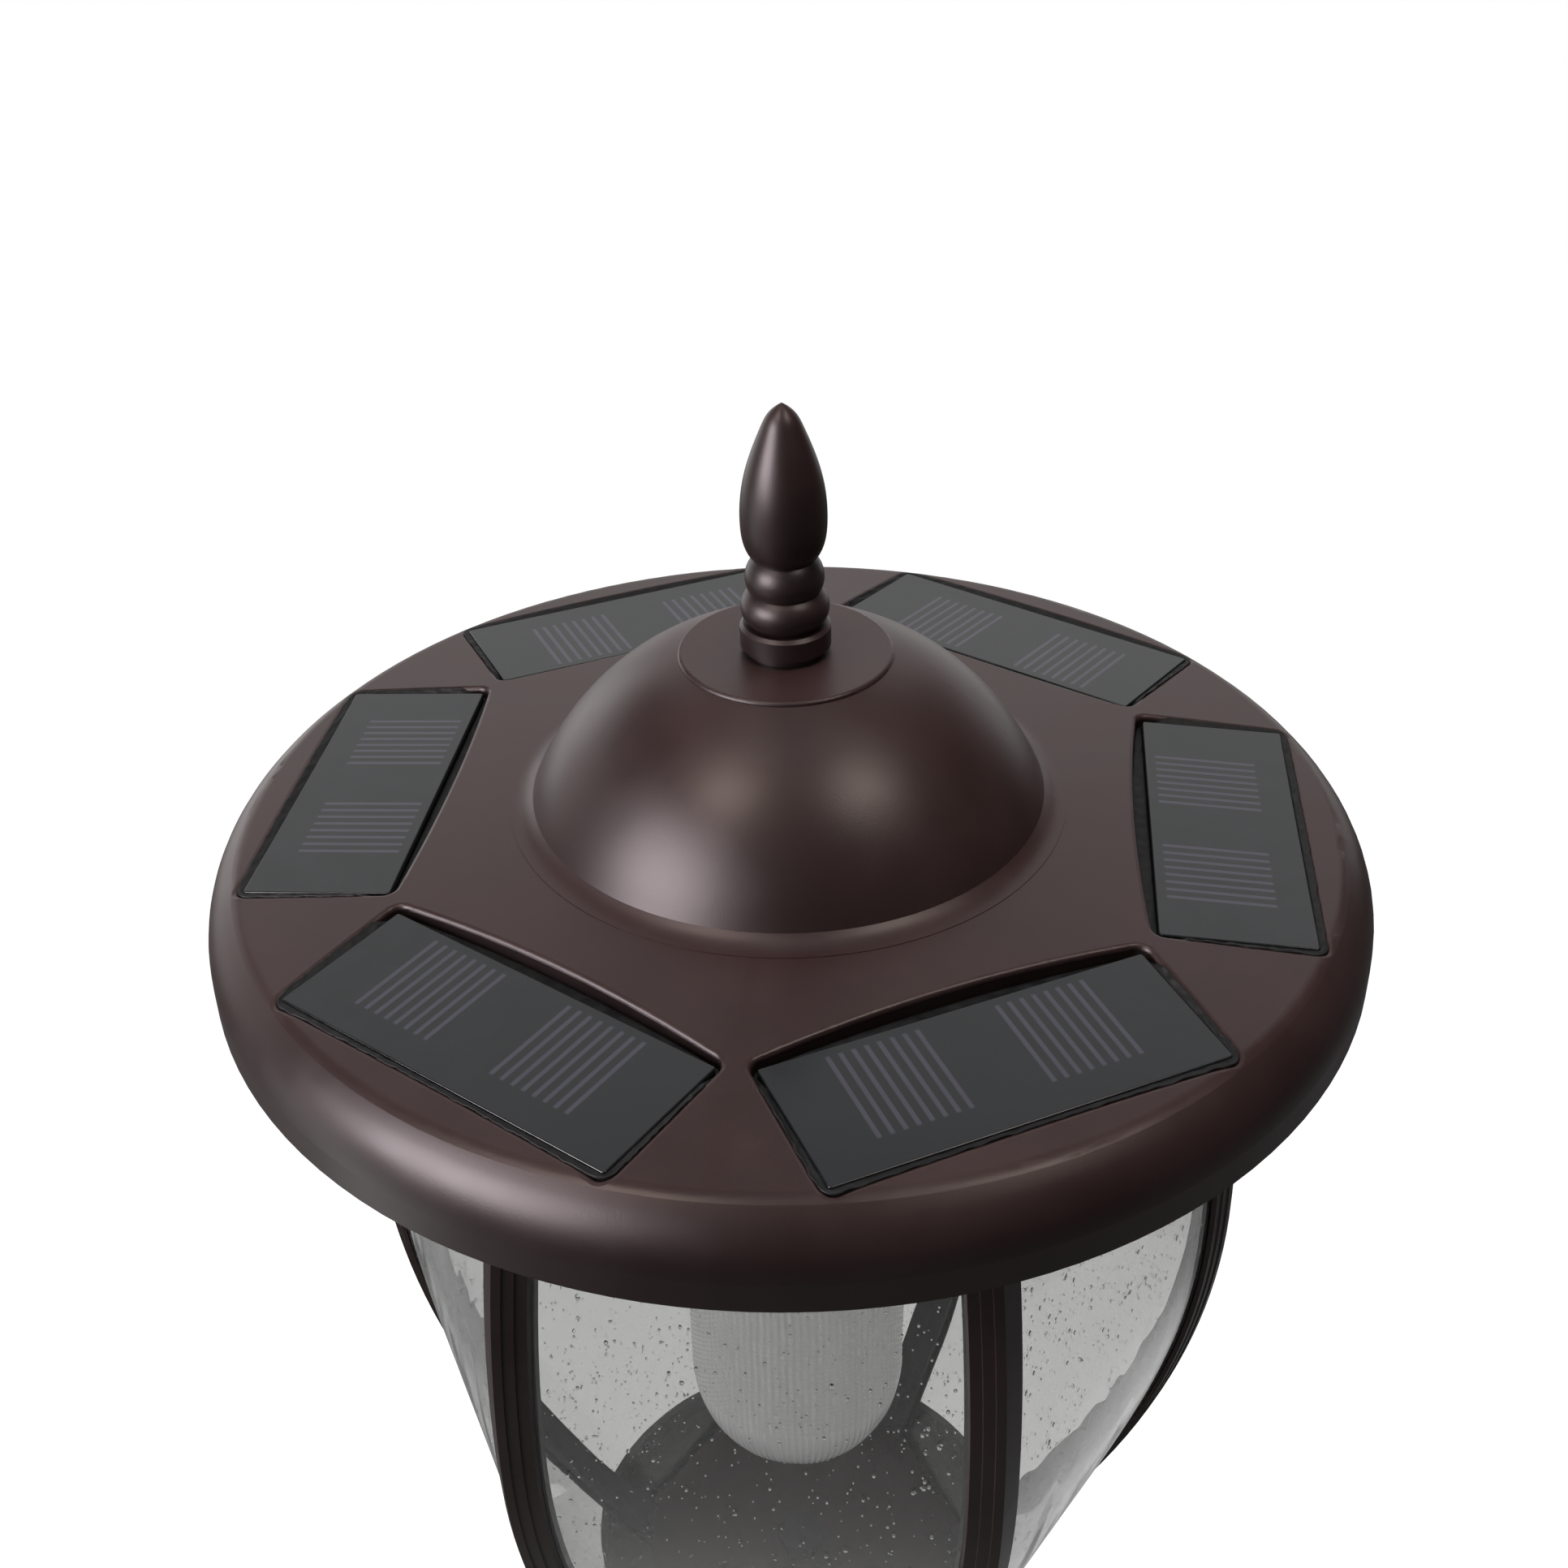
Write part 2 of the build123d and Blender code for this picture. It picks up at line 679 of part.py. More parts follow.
def cup_bolt():
    """Centre bolt from the pane ring through the cup into a nut below the fitter's web."""
    web_low = fitter_top - fitter_web
    nut_bottom = web_low - cup_bolt_head_height
    head = hexagon_bar(2 * cup_bolt_radius, rib_foot_level, rib_foot_level + cup_bolt_head_height)
    shank = round_bar(cup_bolt_radius, nut_bottom, rib_foot_level)
    nut = hexagon_bar(2 * cup_bolt_radius, nut_bottom, web_low)
    nut = nut - round_bar(cup_bolt_radius + running_clearance, nut_bottom, web_low)
    return group([head + shank, nut])


def bow_point(belly, bow, inset, level):
    """Point at a height on an arc that bulges to the belly, set in from it."""
    rise = level - belly_level
    return (belly - bow + sqrt((bow - inset)**2 - rise**2), level)


def bulge(belly, high_bow, low_bow, inset, bottom, top, width):
    """A slab along +X from the axis out to the lantern's curve, set in from it."""
    high_middle = (belly_level + top) / 2
    low_middle = (belly_level + bottom) / 2
    crest = (belly - inset, belly_level)
    top_point = bow_point(belly, high_bow, inset, top)
    bottom_point = bow_point(belly, low_bow, inset, bottom)
    curve = Polyline(bottom_point, (0, bottom), (0, top), top_point)
    curve += ThreePointArc(top_point, bow_point(belly, high_bow, inset, high_middle), crest)
    curve += ThreePointArc(crest, bow_point(belly, low_bow, inset, low_middle), bottom_point)
    return extrude(Plane.XZ * make_face(curve), width / 2, both=True)


def pane_slab(inset, bottom, top):
    """The space inside one pane's outer face, set in from it."""
    return bulge(pane_belly, pane_upper_bow, pane_lower_bow, inset, bottom, top, reach)


def corner_core(inset, bottom, top):
    """The space inside both panes that meet at the corner on +X."""
    slab = pane_slab(inset, bottom, top)
    return (Rot(0, 0, half_step) * slab) & (Rot(0, 0, -half_step) * slab)


def rib():
    """Stepped angle on the +X corner, outside the panes, with a foot that they stand on and a screw pad."""
    layers = []
    for step, width in enumerate(reed_widths):
        full = corner_core(-glass_clearance - rib_sheet - reed_step * step, rib_foot_level, rib_top_level)
        layers.append(full & block((0, reach), (-width / 2, width / 2), (rib_foot_level, rib_top_level)))
    head = block((rib_top_radius - rib_depth, rib_head_radius), (-rib_head_width / 2, rib_head_width / 2),
                 (rib_top_level - rib_head_height, rib_top_level))
    solid = join_all(head, layers)
    solid = solid - corner_core(-glass_clearance, rib_foot_level, rib_top_level)
    foot = layers[0] & block((rib_foot_inner_radius, reach), (-rib_width / 2, rib_width / 2),
                             (rib_foot_level, rib_foot_level + rib_foot_height))
    foot_hole = Pos(rib_screw_foot_radius, 0, rib_foot_level) * Cylinder(
        rib_screw_radius + screw_clearance, rib_screw_depth, align=ON_BASE)
    top_hole = Pos(rib_screw_top_radius, 0, rib_top_level - rib_screw_depth) * Cylinder(
        rib_screw_radius + screw_clearance, rib_screw_depth, align=ON_BASE)
    return solid + foot - foot_hole - top_hole


def glass_pane():
    """Single-curved pane that faces +X, mitred to its neighbours with a gap."""
    sheet = pane_slab(0, pane_bottom, pane_top) - pane_slab(glass_thickness, pane_bottom, pane_top)
    apex = pane_joint_gap / sin(radians(half_step))
    far = reach * cos(radians(half_step))
    side = reach * sin(radians(half_step))
    wedge = make_face(Polyline((apex, 0), (apex + far, -side), (apex + far, side), close=True))
    return sheet & (Pos(0, 0, pane_bottom) * extrude(wedge, pane_top - pane_bottom))


def glazing_strip():
    """Black strip inside the +X corner that holds two panes against the rib."""
    face = glass_thickness + glass_clearance
    bar = corner_core(face, pane_bottom, pane_top)
    bar = bar - corner_core(face + strip_thickness, pane_bottom, pane_top)
    half = strip_width / 2
    strip = bar & block((0, reach), (-half, half), (pane_bottom, pane_top))
    return strip.solids().sort_by(Axis.X)[-1]


def top_ring():
    """Six-sided plate on the rib tops, with a round collar that the roof sits on."""
    plate = hexagon_bar(top_ring_corner_radius, rib_top_level, top_plate_top)
    body = plate + round_bar(top_collar_radius, top_plate_top, liner_level)
    body = body - round_bar(top_hole_radius, rib_top_level, liner_level)
    hole = Pos(rib_screw_top_radius, 0, rib_top_level) * Cylinder(
        rib_screw_radius + screw_clearance, top_plate_thickness, align=ON_BASE)
    body = cut_all(body, around(hole, side_count))
    thumb_hole = Cylinder(thumb_screw_radius + screw_clearance, reach, align=ON_BASE)
    return cut_all(body, around(radial(thumb_hole, thumb_level), thumb_screw_count, half_step))


def rib_screws():
    """Screws through the top ring and the pane ring into both ends of each rib."""
    head_radius = screw_head_share * rib_screw_radius
    head_height = rib_screw_radius
    top_screw = cap_screw(rib_screw_radius, top_plate_thickness + rib_screw_depth - contact_clearance,
                          head_radius, head_height)
    foot_screw = cap_screw(rib_screw_radius, pane_ring_thickness + rib_screw_depth - contact_clearance,
                           head_radius, head_height)
    top_screw = Pos(rib_screw_top_radius, 0, top_plate_top) * top_screw
    foot_screw = Pos(rib_screw_foot_radius, 0, pane_ring_bottom) * Rot(180, 0, 0) * foot_screw
    return group(around(top_screw, side_count) + around(foot_screw, side_count))


def thumb_screws():
    """Knurled screws through the top ring that press on the roof's collar."""
    tip = liner_collar_radius + contact_clearance
    head_start = top_collar_radius + 2 * contact_clearance
    shank = Pos(0, 0, tip) * Cylinder(thumb_screw_radius, head_start - tip, align=ON_BASE)
    head = Pos(0, 0, head_start) * Cylinder(thumb_head_radius, thumb_head_length, align=ON_BASE)
    knurl = Pos(thumb_head_radius, 0, head_start) * Cylinder(
        thumb_knurl_radius, thumb_head_length, align=ON_BASE)
    head = cut_all(head, around(knurl, thumb_knurl_count))
    return group(around(radial(shank + head, thumb_level), thumb_screw_count, half_step))


def roof_shell_profile(inset, hole):
    """Section of the roof's outer face, set in by a wall: skirt, rim, brow, slope and land."""

    def on_rim(lean):
        reach = rim_round - inset
        return (rim_centre_radius + reach * sin(radians(lean)), rim_centre_level + reach * cos(radians(lean)))

    def on_brow(lean):
        reach = brow_round - inset
        return (brow_centre_radius + reach * sin(radians(lean)), brow_centre_level + reach * cos(radians(lean)))

    land = (dome_land_radius, land_level - inset)
    edge = roof_radius - inset
    curve = Polyline((hole, skirt_level), (edge, skirt_level), (edge, rim_centre_level))
    curve += ThreePointArc((edge, rim_centre_level), on_rim((90 + rim_break) / 2), on_rim(rim_break))
    curve += ThreePointArc(on_rim(rim_break), on_brow((rim_break + roof_slope) / 2), on_brow(roof_slope))
    curve += Polyline(on_brow(roof_slope), land, (hole, land[1]), (hole, skirt_level))
    return curve


def on_panel(shape):
    """Move a shape made on the panel's top face, x outwards, to the panel on +X."""
    return Pos(panel_centre_radius, 0, panel_level) * Rot(0, panel_tilt, 0) * shape


def pocket_outline(grow):
    """Pocket in plan: a rectangle round the panel whose inner side bows towards the dome."""
    half_x = panel_width / 2 + pocket_gap + grow
    half_y = pocket_half_length + grow
    curve = Polyline((-half_x, -half_y), (half_x, -half_y), (half_x, half_y), (-half_x, half_y))
    curve += ThreePointArc((-half_x, half_y), (-half_x - pocket_bow, 0), (-half_x, -half_y))
    outline = make_face(curve)
    return fillet(outline.vertices(), pocket_corner + grow)


def roof_face_level(radius):
    """Height of the roof's outer face at a radius: the slope, the brow's round, then the rim's round."""
    if radius < rim_top_radius:
        return rim_top_level + (rim_top_radius - radius) * tan(radians(roof_slope))
    if radius < rim_break_radius:
        return brow_centre_level + sqrt(brow_round**2 - (radius - brow_centre_radius)**2)
    offset = min(radius - rim_centre_radius, rim_round)
    return rim_centre_level + sqrt(rim_round**2 - offset**2)


def is_pocket_lip(edge):
    """Whether an edge runs along the roof's outer face and is neither one of its rings nor a seam."""
    points = [edge @ share for share in (0.1, 0.5, 0.9)]
    radii = [sqrt(point.X**2 + point.Y**2) for point in points]
    on_face = all(abs(point.Z - roof_face_level(radius)) < edge_tolerance
                  for point, radius in zip(points, radii))
    is_ring = max(radii) - min(radii) < edge_tolerance
    is_seam = abs(points[0].X * points[2].Y - points[0].Y * points[2].X) < edge_tolerance
    return on_face and not is_ring and not is_seam


def roof_brim():
    """Round roof with a rolled rim, six sunk pockets, screw bosses and a land for the dome."""
    full = turned(roof_shell_profile(0, roof_hole_radius))
    cavity = turned(roof_shell_profile(roof_wall, roof_hole_radius))
    pan = on_panel(Pos(0, 0, pocket_floor - pan_wall) * extrude(pocket_outline(pan_wall), rim_round))
    boss = Pos(boss_circle_radius, 0, liner_top) * Cylinder(
        boss_radius, rim_round + skirt_height, align=ON_BASE)
    pocket = on_panel(Pos(0, 0, pocket_floor) * extrude(pocket_outline(0), rim_round))
    added = around(pan, side_count) + around(boss, liner_screw_count, half_step)
    brim = full - cavity
    brim = join_all(brim, [piece & full for piece in added])
    brim = cut_all(brim, around(pocket, side_count))
    brim = fillet([edge for edge in brim.edges() if is_pocket_lip(edge)], pocket_lip_round)
    screw_hole = Pos(boss_circle_radius, 0, liner_top) * Cylinder(
        liner_screw_radius + screw_clearance, liner_screw_grip, align=ON_BASE)
    dome_hole = Pos(dome_screw_circle_radius, 0, land_level - roof_wall) * Cylinder(
        dome_screw_radius + screw_clearance, roof_wall, align=ON_BASE)
    brim = cut_all(brim, around(screw_hole, liner_screw_count, half_step))
    return cut_all(brim, around(dome_hole, dome_screw_count))


def solar_panel():
    """Glass-faced panel with eased edges, in the pocket on +X."""
    slab = Pos(0, 0, -panel_thickness / 2) * Box(panel_width, panel_length, panel_thickness)
    return on_panel(fillet(slab.edges().filter_by(Axis.Z), panel_corner))


def panel_seal():
    """Sealant bed under the panel on +X and round its edge."""
    height = -pocket_floor - seal_below_glass
    body = Pos(0, 0, pocket_floor) * extrude(pocket_outline(-seal_clearance), height)
    panel_room = Pos(0, 0, -panel_thickness) * Box(
        panel_width + 2 * seal_clearance, panel_length + 2 * seal_clearance, panel_thickness, align=ON_BASE)
    return on_panel(body - panel_room)


def sphere_radius(radius, level):
    """Radius of a dome's face at a height."""
    return sqrt(radius**2 - (level - dome_centre)**2)


def roof_dome():
    """Spun dome with a flared foot, an inner screw flange and a raised flat crown."""
    flange_level = land_level + dome_wall
    outer_half = (dome_flare_top + crown_shoulder) / 2
    inner_half = (flange_level + crown_underside) / 2
    foot = (dome_foot_radius, dome_flare_top)
    lip = (dome_land_radius, land_level + dome_lip)
    flare_rise = dome_flare_height - dome_lip
    flare_chord = sqrt(dome_flare_width**2 + flare_rise**2)
    flare_middle = ((lip[0] + foot[0]) / 2 - dome_flare_sag * flare_rise / flare_chord,
                    (lip[1] + foot[1]) / 2 - dome_flare_sag * dome_flare_width / flare_chord)
    shoulder = (crown_radius, crown_shoulder)
    edge_low = (crown_radius, crown_level - crown_edge_round)
    edge_cut = crown_edge_round * (1 - cos(radians(45)))
    edge_middle = (crown_radius - edge_cut, crown_level - edge_cut)
    edge_high = (crown_radius - crown_edge_round, crown_level)
    inside_edge = (sphere_radius(dome_inner_radius, crown_underside), crown_underside)
    inside_foot = (sphere_radius(dome_inner_radius, flange_level), flange_level)
    curve = Polyline((roof_hole_radius, land_level), (dome_land_radius, land_level), lip)
    curve += ThreePointArc(lip, flare_middle, foot)
    curve += ThreePointArc(foot, (sphere_radius(dome_radius, outer_half), outer_half), shoulder)
    curve += Line(shoulder, edge_low)
    curve += ThreePointArc(edge_low, edge_middle, edge_high)
    curve += Polyline(edge_high, (0, crown_level), (0, crown_underside), inside_edge)
    curve += ThreePointArc(
        inside_edge, (sphere_radius(dome_inner_radius, inner_half), inner_half), inside_foot)
    curve += Polyline(inside_foot, (roof_hole_radius, flange_level), (roof_hole_radius, land_level))
    hole = Pos(dome_screw_circle_radius, 0, land_level) * Cylinder(
        dome_screw_radius + screw_clearance, dome_wall, align=ON_BASE)
    dome = turned(curve) - round_bar(stud_radius + screw_clearance, crown_underside, crown_level)
    return cut_all(dome, around(hole, dome_screw_count))


def dome_screws():
    """Screws from below the brim's land into the dome's flange."""
    screw = cap_screw(dome_screw_radius, roof_wall + dome_wall, screw_head_share * dome_screw_radius,
                      dome_screw_radius)
    screw = Pos(dome_screw_circle_radius, 0, land_level - roof_wall) * Rot(180, 0, 0) * screw
    return group(around(screw, dome_screw_count))


def finial_stud():
    """Stud with a six-sided head under the dome's crown."""
    head = hexagon_bar(stud_head_radius, crown_underside - stud_head_height, crown_underside)
    return head + round_bar(stud_radius, crown_underside, crown_level + stud_length)


def finial_washer():
    """Captive washer between the crown and the finial."""
    return ring(washer_radius, stud_radius + running_clearance, crown_level, finial_bottom)


def finial():
    """Turned finial: collar, two beads and a flame, bored for the stud."""
    collar_level = finial_bottom + finial_collar_height
    waist = collar_level + finial_bead_height
    neck = waist + finial_small_bead_height
    tip = neck + flame_height
    ledge = (finial_waist_radius, collar_level)
    curve = Polyline((0, finial_bottom), (finial_collar_radius, finial_bottom),
                     (finial_collar_radius, collar_level - finial_collar_chamfer),
                     (finial_collar_radius - finial_collar_chamfer, collar_level), ledge)
    groove = (finial_waist_radius, waist)
    curve += ThreePointArc(ledge, (finial_bead_radius, (collar_level + waist) / 2), groove)
    curve += ThreePointArc(groove, (finial_small_bead_radius, (waist + neck) / 2), (finial_neck_radius, neck))
    curve += Spline((finial_neck_radius, neck), (flame_radius, neck + flame_height * flame_belly_share),
                    (flame_shoulder_radius, neck + flame_height * flame_shoulder_share),
                    (flame_brow_radius, neck + flame_height * flame_brow_share), (0, tip),
                    tangents=(flame_start_slope, flame_tip_slope))
    curve += Line((0, tip), (0, finial_bottom))
    bore_top = crown_level + stud_length + stud_bore_spare
    return turned(curve) - round_bar(stud_radius + running_clearance, finial_bottom, bore_top)


def flange_screw_holes(bottom, top):
    """Holes for the screws that hold the housing's flange to the liner."""
    hole = Pos(flange_screw_circle, 0, bottom) * Cylinder(
        liner_screw_radius + screw_clearance, top - bottom, align=ON_BASE)
    return around(hole, flange_screw_count)


def roof_liner():
    """Sheet that closes the roof's underside, with a collar that centres it in the top ring."""
    plate = round_bar(liner_radius, liner_level, liner_top)
    collar = round_bar(liner_collar_radius, liner_level - liner_collar_depth, liner_level)
    liner = plate + collar - round_bar(liner_hole_radius, liner_level - liner_collar_depth, liner_top)
    hole = Pos(boss_circle_radius, 0, liner_level) * Cylinder(
        liner_screw_radius + screw_clearance, liner_thickness, align=ON_BASE)
    liner = cut_all(liner, around(hole, liner_screw_count, half_step))
    return cut_all(liner, flange_screw_holes(liner_level, liner_top))


def liner_screws():
    """Screws through the liner into the brim's bosses, and through the housing's flange into the liner."""
    screw = cap_screw(liner_screw_radius, liner_thickness + liner_screw_grip - contact_clearance,
                      screw_head_share * liner_screw_radius, liner_screw_radius)
    screw = Pos(boss_circle_radius, 0, liner_level) * Rot(180, 0, 0) * screw
    flange_screw = cap_screw(liner_screw_radius, flange_top - liner_level - contact_clearance,
                             screw_head_share * liner_screw_radius, liner_screw_radius)
    flange_screw = Pos(flange_screw_circle, 0, flange_top) * flange_screw
    return group(around(screw, liner_screw_count, half_step) + around(flange_screw, flange_screw_count))


def door_knuckle(low, high):
    """One hinge barrel between two places along X."""
    return Pos(low, hinge_y, hinge_level) * Rot(0, 90, 0) * Cylinder(
        knuckle_radius, high - low, align=ON_BASE)


def door_pin_bore(low, high, clearance):
    """The hinge pin's bore, or the pin itself with no clearance."""
    return Pos(low, hinge_y, hinge_level) * Rot(0, 90, 0) * Cylinder(
        door_pin_radius + clearance, high - low, align=ON_BASE)


def led_housing():
    """Open-topped can under the roof, with a battery bay, board stand-offs and a switch slot."""
    can = round_bar(housing_radius, housing_bottom, flange_top)
    can = can + round_bar(flange_radius, flange_bottom, flange_top)
    can = can - round_bar(housing_radius - housing_wall, floor_top, flange_top)
    can = cut_all(can, flange_screw_holes(flange_bottom, flange_top))
    bay = block((-bay_half_x - bay_wall, bay_half_x + bay_wall),
                (bay_inner_y - bay_wall, bay_outer_y + bay_wall), (housing_bottom, bay_top + bay_wall))
    bay = bay & round_bar(housing_radius, housing_bottom, flange_top)
    can = can + bay
    can = can - block((-bay_half_x, bay_half_x), (bay_inner_y, bay_outer_y), (housing_bottom, bay_top))
    post = Cylinder(stand_off_radius, board_stand_off, align=ON_BASE)
    places = [(x, board_centre_y + y) for x in (-stand_off_half_x, stand_off_half_x)
              for y in (-stand_off_half_y, stand_off_half_y)]
    can = join_all(can, [Pos(x, y, floor_top) * post for x, y in places])
    can = can - block((-slot_half_length, slot_half_length),
                      (switch_y - slot_half_width, switch_y + slot_half_width), (housing_bottom, floor_top))
    hole = Pos(bezel_screw_circle, 0, housing_bottom) * Cylinder(
        bezel_screw_radius + screw_clearance, housing_floor, align=ON_BASE)
    can = cut_all(can, around(hole, bezel_screw_count, 45))
    half = knuckle_length / 2
    lug = door_knuckle(-half, half) + block((-half, half), (hinge_y, hinge_y + knuckle_radius),
                                            (hinge_level, housing_bottom))
    return can + lug - door_pin_bore(-half, half, screw_clearance)


def battery_door():
    """Flap that closes the battery bay, with two hinge barrels on its outer edge."""
    inner = bay_inner_y + door_clearance
    outer = bay_outer_y - door_clearance
    half = bay_half_x - door_clearance
    flap = block((-half, half), (inner, outer), (housing_bottom, housing_bottom + door_thickness))
    arm_start = outer - 2 * knuckle_radius
    low = knuckle_length / 2 + knuckle_gap
    high = low + knuckle_length
    for start, end in ((low, high), (-high, -low)):
        arm = block((start, end), (arm_start, hinge_y), (hinge_level, housing_bottom - knuckle_drop))
        root = block((start, end), (arm_start, outer), (hinge_level, housing_bottom))
        flap = flap + arm + root + door_knuckle(start, end)
        flap = flap - door_pin_bore(start, end, running_clearance)
    pull = block((-knuckle_length, knuckle_length), (inner, inner + door_thickness),
                 (housing_bottom - door_thickness, housing_bottom))
    return flap + pull


def door_pin():
    """Hinge pin of the battery door."""
    end = 1.5 * knuckle_length + knuckle_gap
    return door_pin_bore(-end, end, 0)


def battery_cells():
    """Two round cells side by side in the bay."""
    cell = Rot(0, 90, 0) * Cylinder(cell_radius, cell_length)
    nub = Pos(cell_length / 2, 0, 0) * Rot(0, 90, 0) * Cylinder(cell_radius / 3, 2 * cell_nub)
    return group([Pos(0, y, cell_level) * (cell + nub) for y in (first_cell_y, second_cell_y)])


def battery_contacts():
    """Sprung contact plates on the bay's end walls."""
    half_y = contact_width / 2
    dimple_height = bay_end_room - contact_thickness - cell_nub - contact_clearance
    dimple = Cone(cell_radius / 2, cell_radius / 4, dimple_height, align=ON_BASE)
    contacts = []
    for y in (first_cell_y, second_cell_y):
        for side in (-1, 1):
            wall = side * bay_half_x
            face = wall - side * contact_thickness
            plate = block(sorted((wall, face)), (y - half_y, y + half_y),
                          (cell_level - half_y, cell_level + half_y))
            contacts.append(plate + Pos(face, y, cell_level) * Rot(0, -90 * side, 0) * dimple)
    return group(contacts)


def housing_gasket():
    """Flat gasket between the housing's flange and the liner."""
    gasket = ring(flange_radius, liner_hole_radius, liner_top, flange_bottom)
    return cut_all(gasket, flange_screw_holes(liner_top, flange_bottom))


def control_board():
    """Charging and lighting board on the stand-offs, with its chip and its coil."""
    board = block((-board_length / 2, board_length / 2),
                  (board_centre_y - board_width / 2, board_centre_y + board_width / 2),
                  (board_level, board_level + board_thickness))
    top = board_level + board_thickness
    chip = block((-board_length / 4, 0),
                 (board_centre_y - board_width / 6, board_centre_y + board_width / 6), (top, top + chip_height))
    coil = Pos(board_length / 4, board_centre_y, top) * Cylinder(
        board_width / 6, 2 * chip_height, align=ON_BASE)
    return board + chip + coil


def switch_body():
    """Slide switch on the housing's floor, with a channel for its knob."""
    body = block((-switch_body_length / 2, switch_body_length / 2),
                 (switch_y - switch_body_width / 2, switch_y + switch_body_width / 2),
                 (floor_top, floor_top + switch_body_height))
    channel = block((-slot_half_length, slot_half_length),
                    (switch_y - slot_half_width, switch_y + slot_half_width),
                    (floor_top, floor_top + knob_into_body + knob_clearance))
    return body - channel


def switch_knob():
    """Sliding knob that stands out below the housing's floor, at the near end of its slot."""
    start = -(knob_length + switch_travel) / 2
    knob = block((start, start + knob_length), (switch_y - knob_width / 2, switch_y + knob_width / 2),
                 (housing_bottom - knob_below_floor, floor_top + knob_into_body))
    middle = start + knob_length / 2
    ridge = block((middle - knob_ridge / 2, middle + knob_ridge / 2),
                  (switch_y - knob_width / 2, switch_y + knob_width / 2),
                  (housing_bottom - knob_below_floor - knob_ridge, housing_bottom - knob_below_floor))
    return knob + ridge


def led_board():
    """Round board under the housing's floor."""
    return round_bar(led_board_radius, housing_bottom - led_board_thickness, housing_bottom)


def leds():
    """One LED in the middle of the board and a ring of LEDs round it."""
    face = housing_bottom - led_board_thickness
    body = round_bar(led_radius, face - led_height, face)
    lamp = fillet(body.edges().sort_by(Axis.Z)[0], led_radius / 2)
    return group([lamp] + around(Pos(led_ring_radius, 0, 0) * lamp, led_ring_count))


def diffuser():
    """Clear jar with a round bottom, hung by its flange from the housing's floor."""
    bottom = skirt_level - diffuser_bottom_below_skirt

    def jar_curve(radius, low, high):
        centre = low + radius
        middle = radius * cos(radians(45))
        curve = Polyline((0, low), (0, high), (radius, high), (radius, centre))
        curve += ThreePointArc((radius, centre), (middle, centre - middle), (0, low))
        return curve

    jar = turned(jar_curve(diffuser_radius, bottom, housing_bottom))
    jar = jar + round_bar(diffuser_flange_radius, diffuser_flange_bottom, housing_bottom)
    return jar - turned(jar_curve(diffuser_radius - diffuser_wall, bottom + diffuser_wall, housing_bottom))


def diffuser_bezel():
    """Ring that clamps the diffuser's flange to the housing."""
    body = round_bar(bezel_radius, bezel_bottom, housing_bottom)
    flange_room = diffuser_flange_radius + contact_clearance
    body = body - round_bar(flange_room, diffuser_flange_bottom, housing_bottom)
    body = body - round_bar(diffuser_radius + contact_clearance, bezel_bottom, diffuser_flange_bottom)
    hole = Pos(bezel_screw_circle, 0, bezel_bottom) * Cylinder(
        bezel_screw_radius + screw_clearance, housing_bottom - bezel_bottom, align=ON_BASE)
    return cut_all(body, around(hole, bezel_screw_count, 45))


def bezel_screws():
    """Screws through the bezel into the housing's floor."""
    length = housing_floor + housing_bottom - bezel_bottom - contact_clearance
    screw = cap_screw(bezel_screw_radius, length, screw_head_share * bezel_screw_radius, bezel_screw_radius)
    screw = Pos(bezel_screw_circle, 0, bezel_bottom) * Rot(180, 0, 0) * screw
    return group(around(screw, bezel_screw_count, 45))


nodes = {
    "base_casting": base_casting(),
    "lower_post": lower_post(),
    "post_collar": post_collar(),
    "upper_post": upper_post(),
    "post_capital": post_capital(),
    "post_screws": post_screws(),
    "tie_rod": tie_rod(),
    "tie_rod_nuts": tie_rod_nuts(),
    "tie_rod_washers": tie_rod_washers(),
    "fitter": fitter(),
    "fitter_screws": fitter_screws(),
    "lower_cup": lower_cup(),
    "pane_ring": pane_ring(),
    "cup_bolt": cup_bolt(),
    "glazing_strips": group(around(glazing_strip(), side_count)),
    "top_ring": top_ring(),
    "rib_screws": rib_screws(),
    "thumb_screws": thumb_screws(),
    "roof_brim": roof_brim(),
    "panel_seals": group(around(panel_seal(), side_count)),
    "roof_dome": roof_dome(),
    "dome_screws": dome_screws(),
    "finial_stud": finial_stud(),
    "finial_washer": finial_washer(),
    "finial": finial(),
    "roof_liner": roof_liner(),
    "liner_screws": liner_screws(),
    "led_housing": led_housing(),
    "housing_gasket": housing_gasket(),
    "battery_door": battery_door(),
    "door_pin": door_pin(),
    "battery_cells": battery_cells(),
    "battery_contacts": battery_contacts(),
    "control_board": control_board(),
    "switch_body": switch_body(),
    "switch_knob": switch_knob(),
    "led_board": led_board(),
    "leds": leds(),
    "diffuser": diffuser(),
    "diffuser_bezel": diffuser_bezel(),
    "bezel_screws": bezel_screws(),
}
for number, (rib_copy, pane_copy, panel_copy) in enumerate(zip(
        around(rib(), side_count, -2 * half_step), around(glass_pane(), side_count, -3 * half_step),
        around(solar_panel(), side_count, -2 * half_step)), start=1):
    nodes[f"rib_{number}"] = rib_copy
    nodes[f"glass_pane_{number}"] = pane_copy
    nodes[f"solar_panel_{number}"] = panel_copy

os.makedirs("parts", exist_ok=True)
for name, solid in nodes.items():
    export_step(solid, f"parts/{name}.step")
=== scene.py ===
"""Solar lamp post: solar panels, sealant, seeded panes, fluted diffuser, finishes and a plain studio."""
import json
from math import cos, pi, radians, sin

import bmesh
import bpy
import numpy as np
from mathutils import Euler, Matrix, Vector


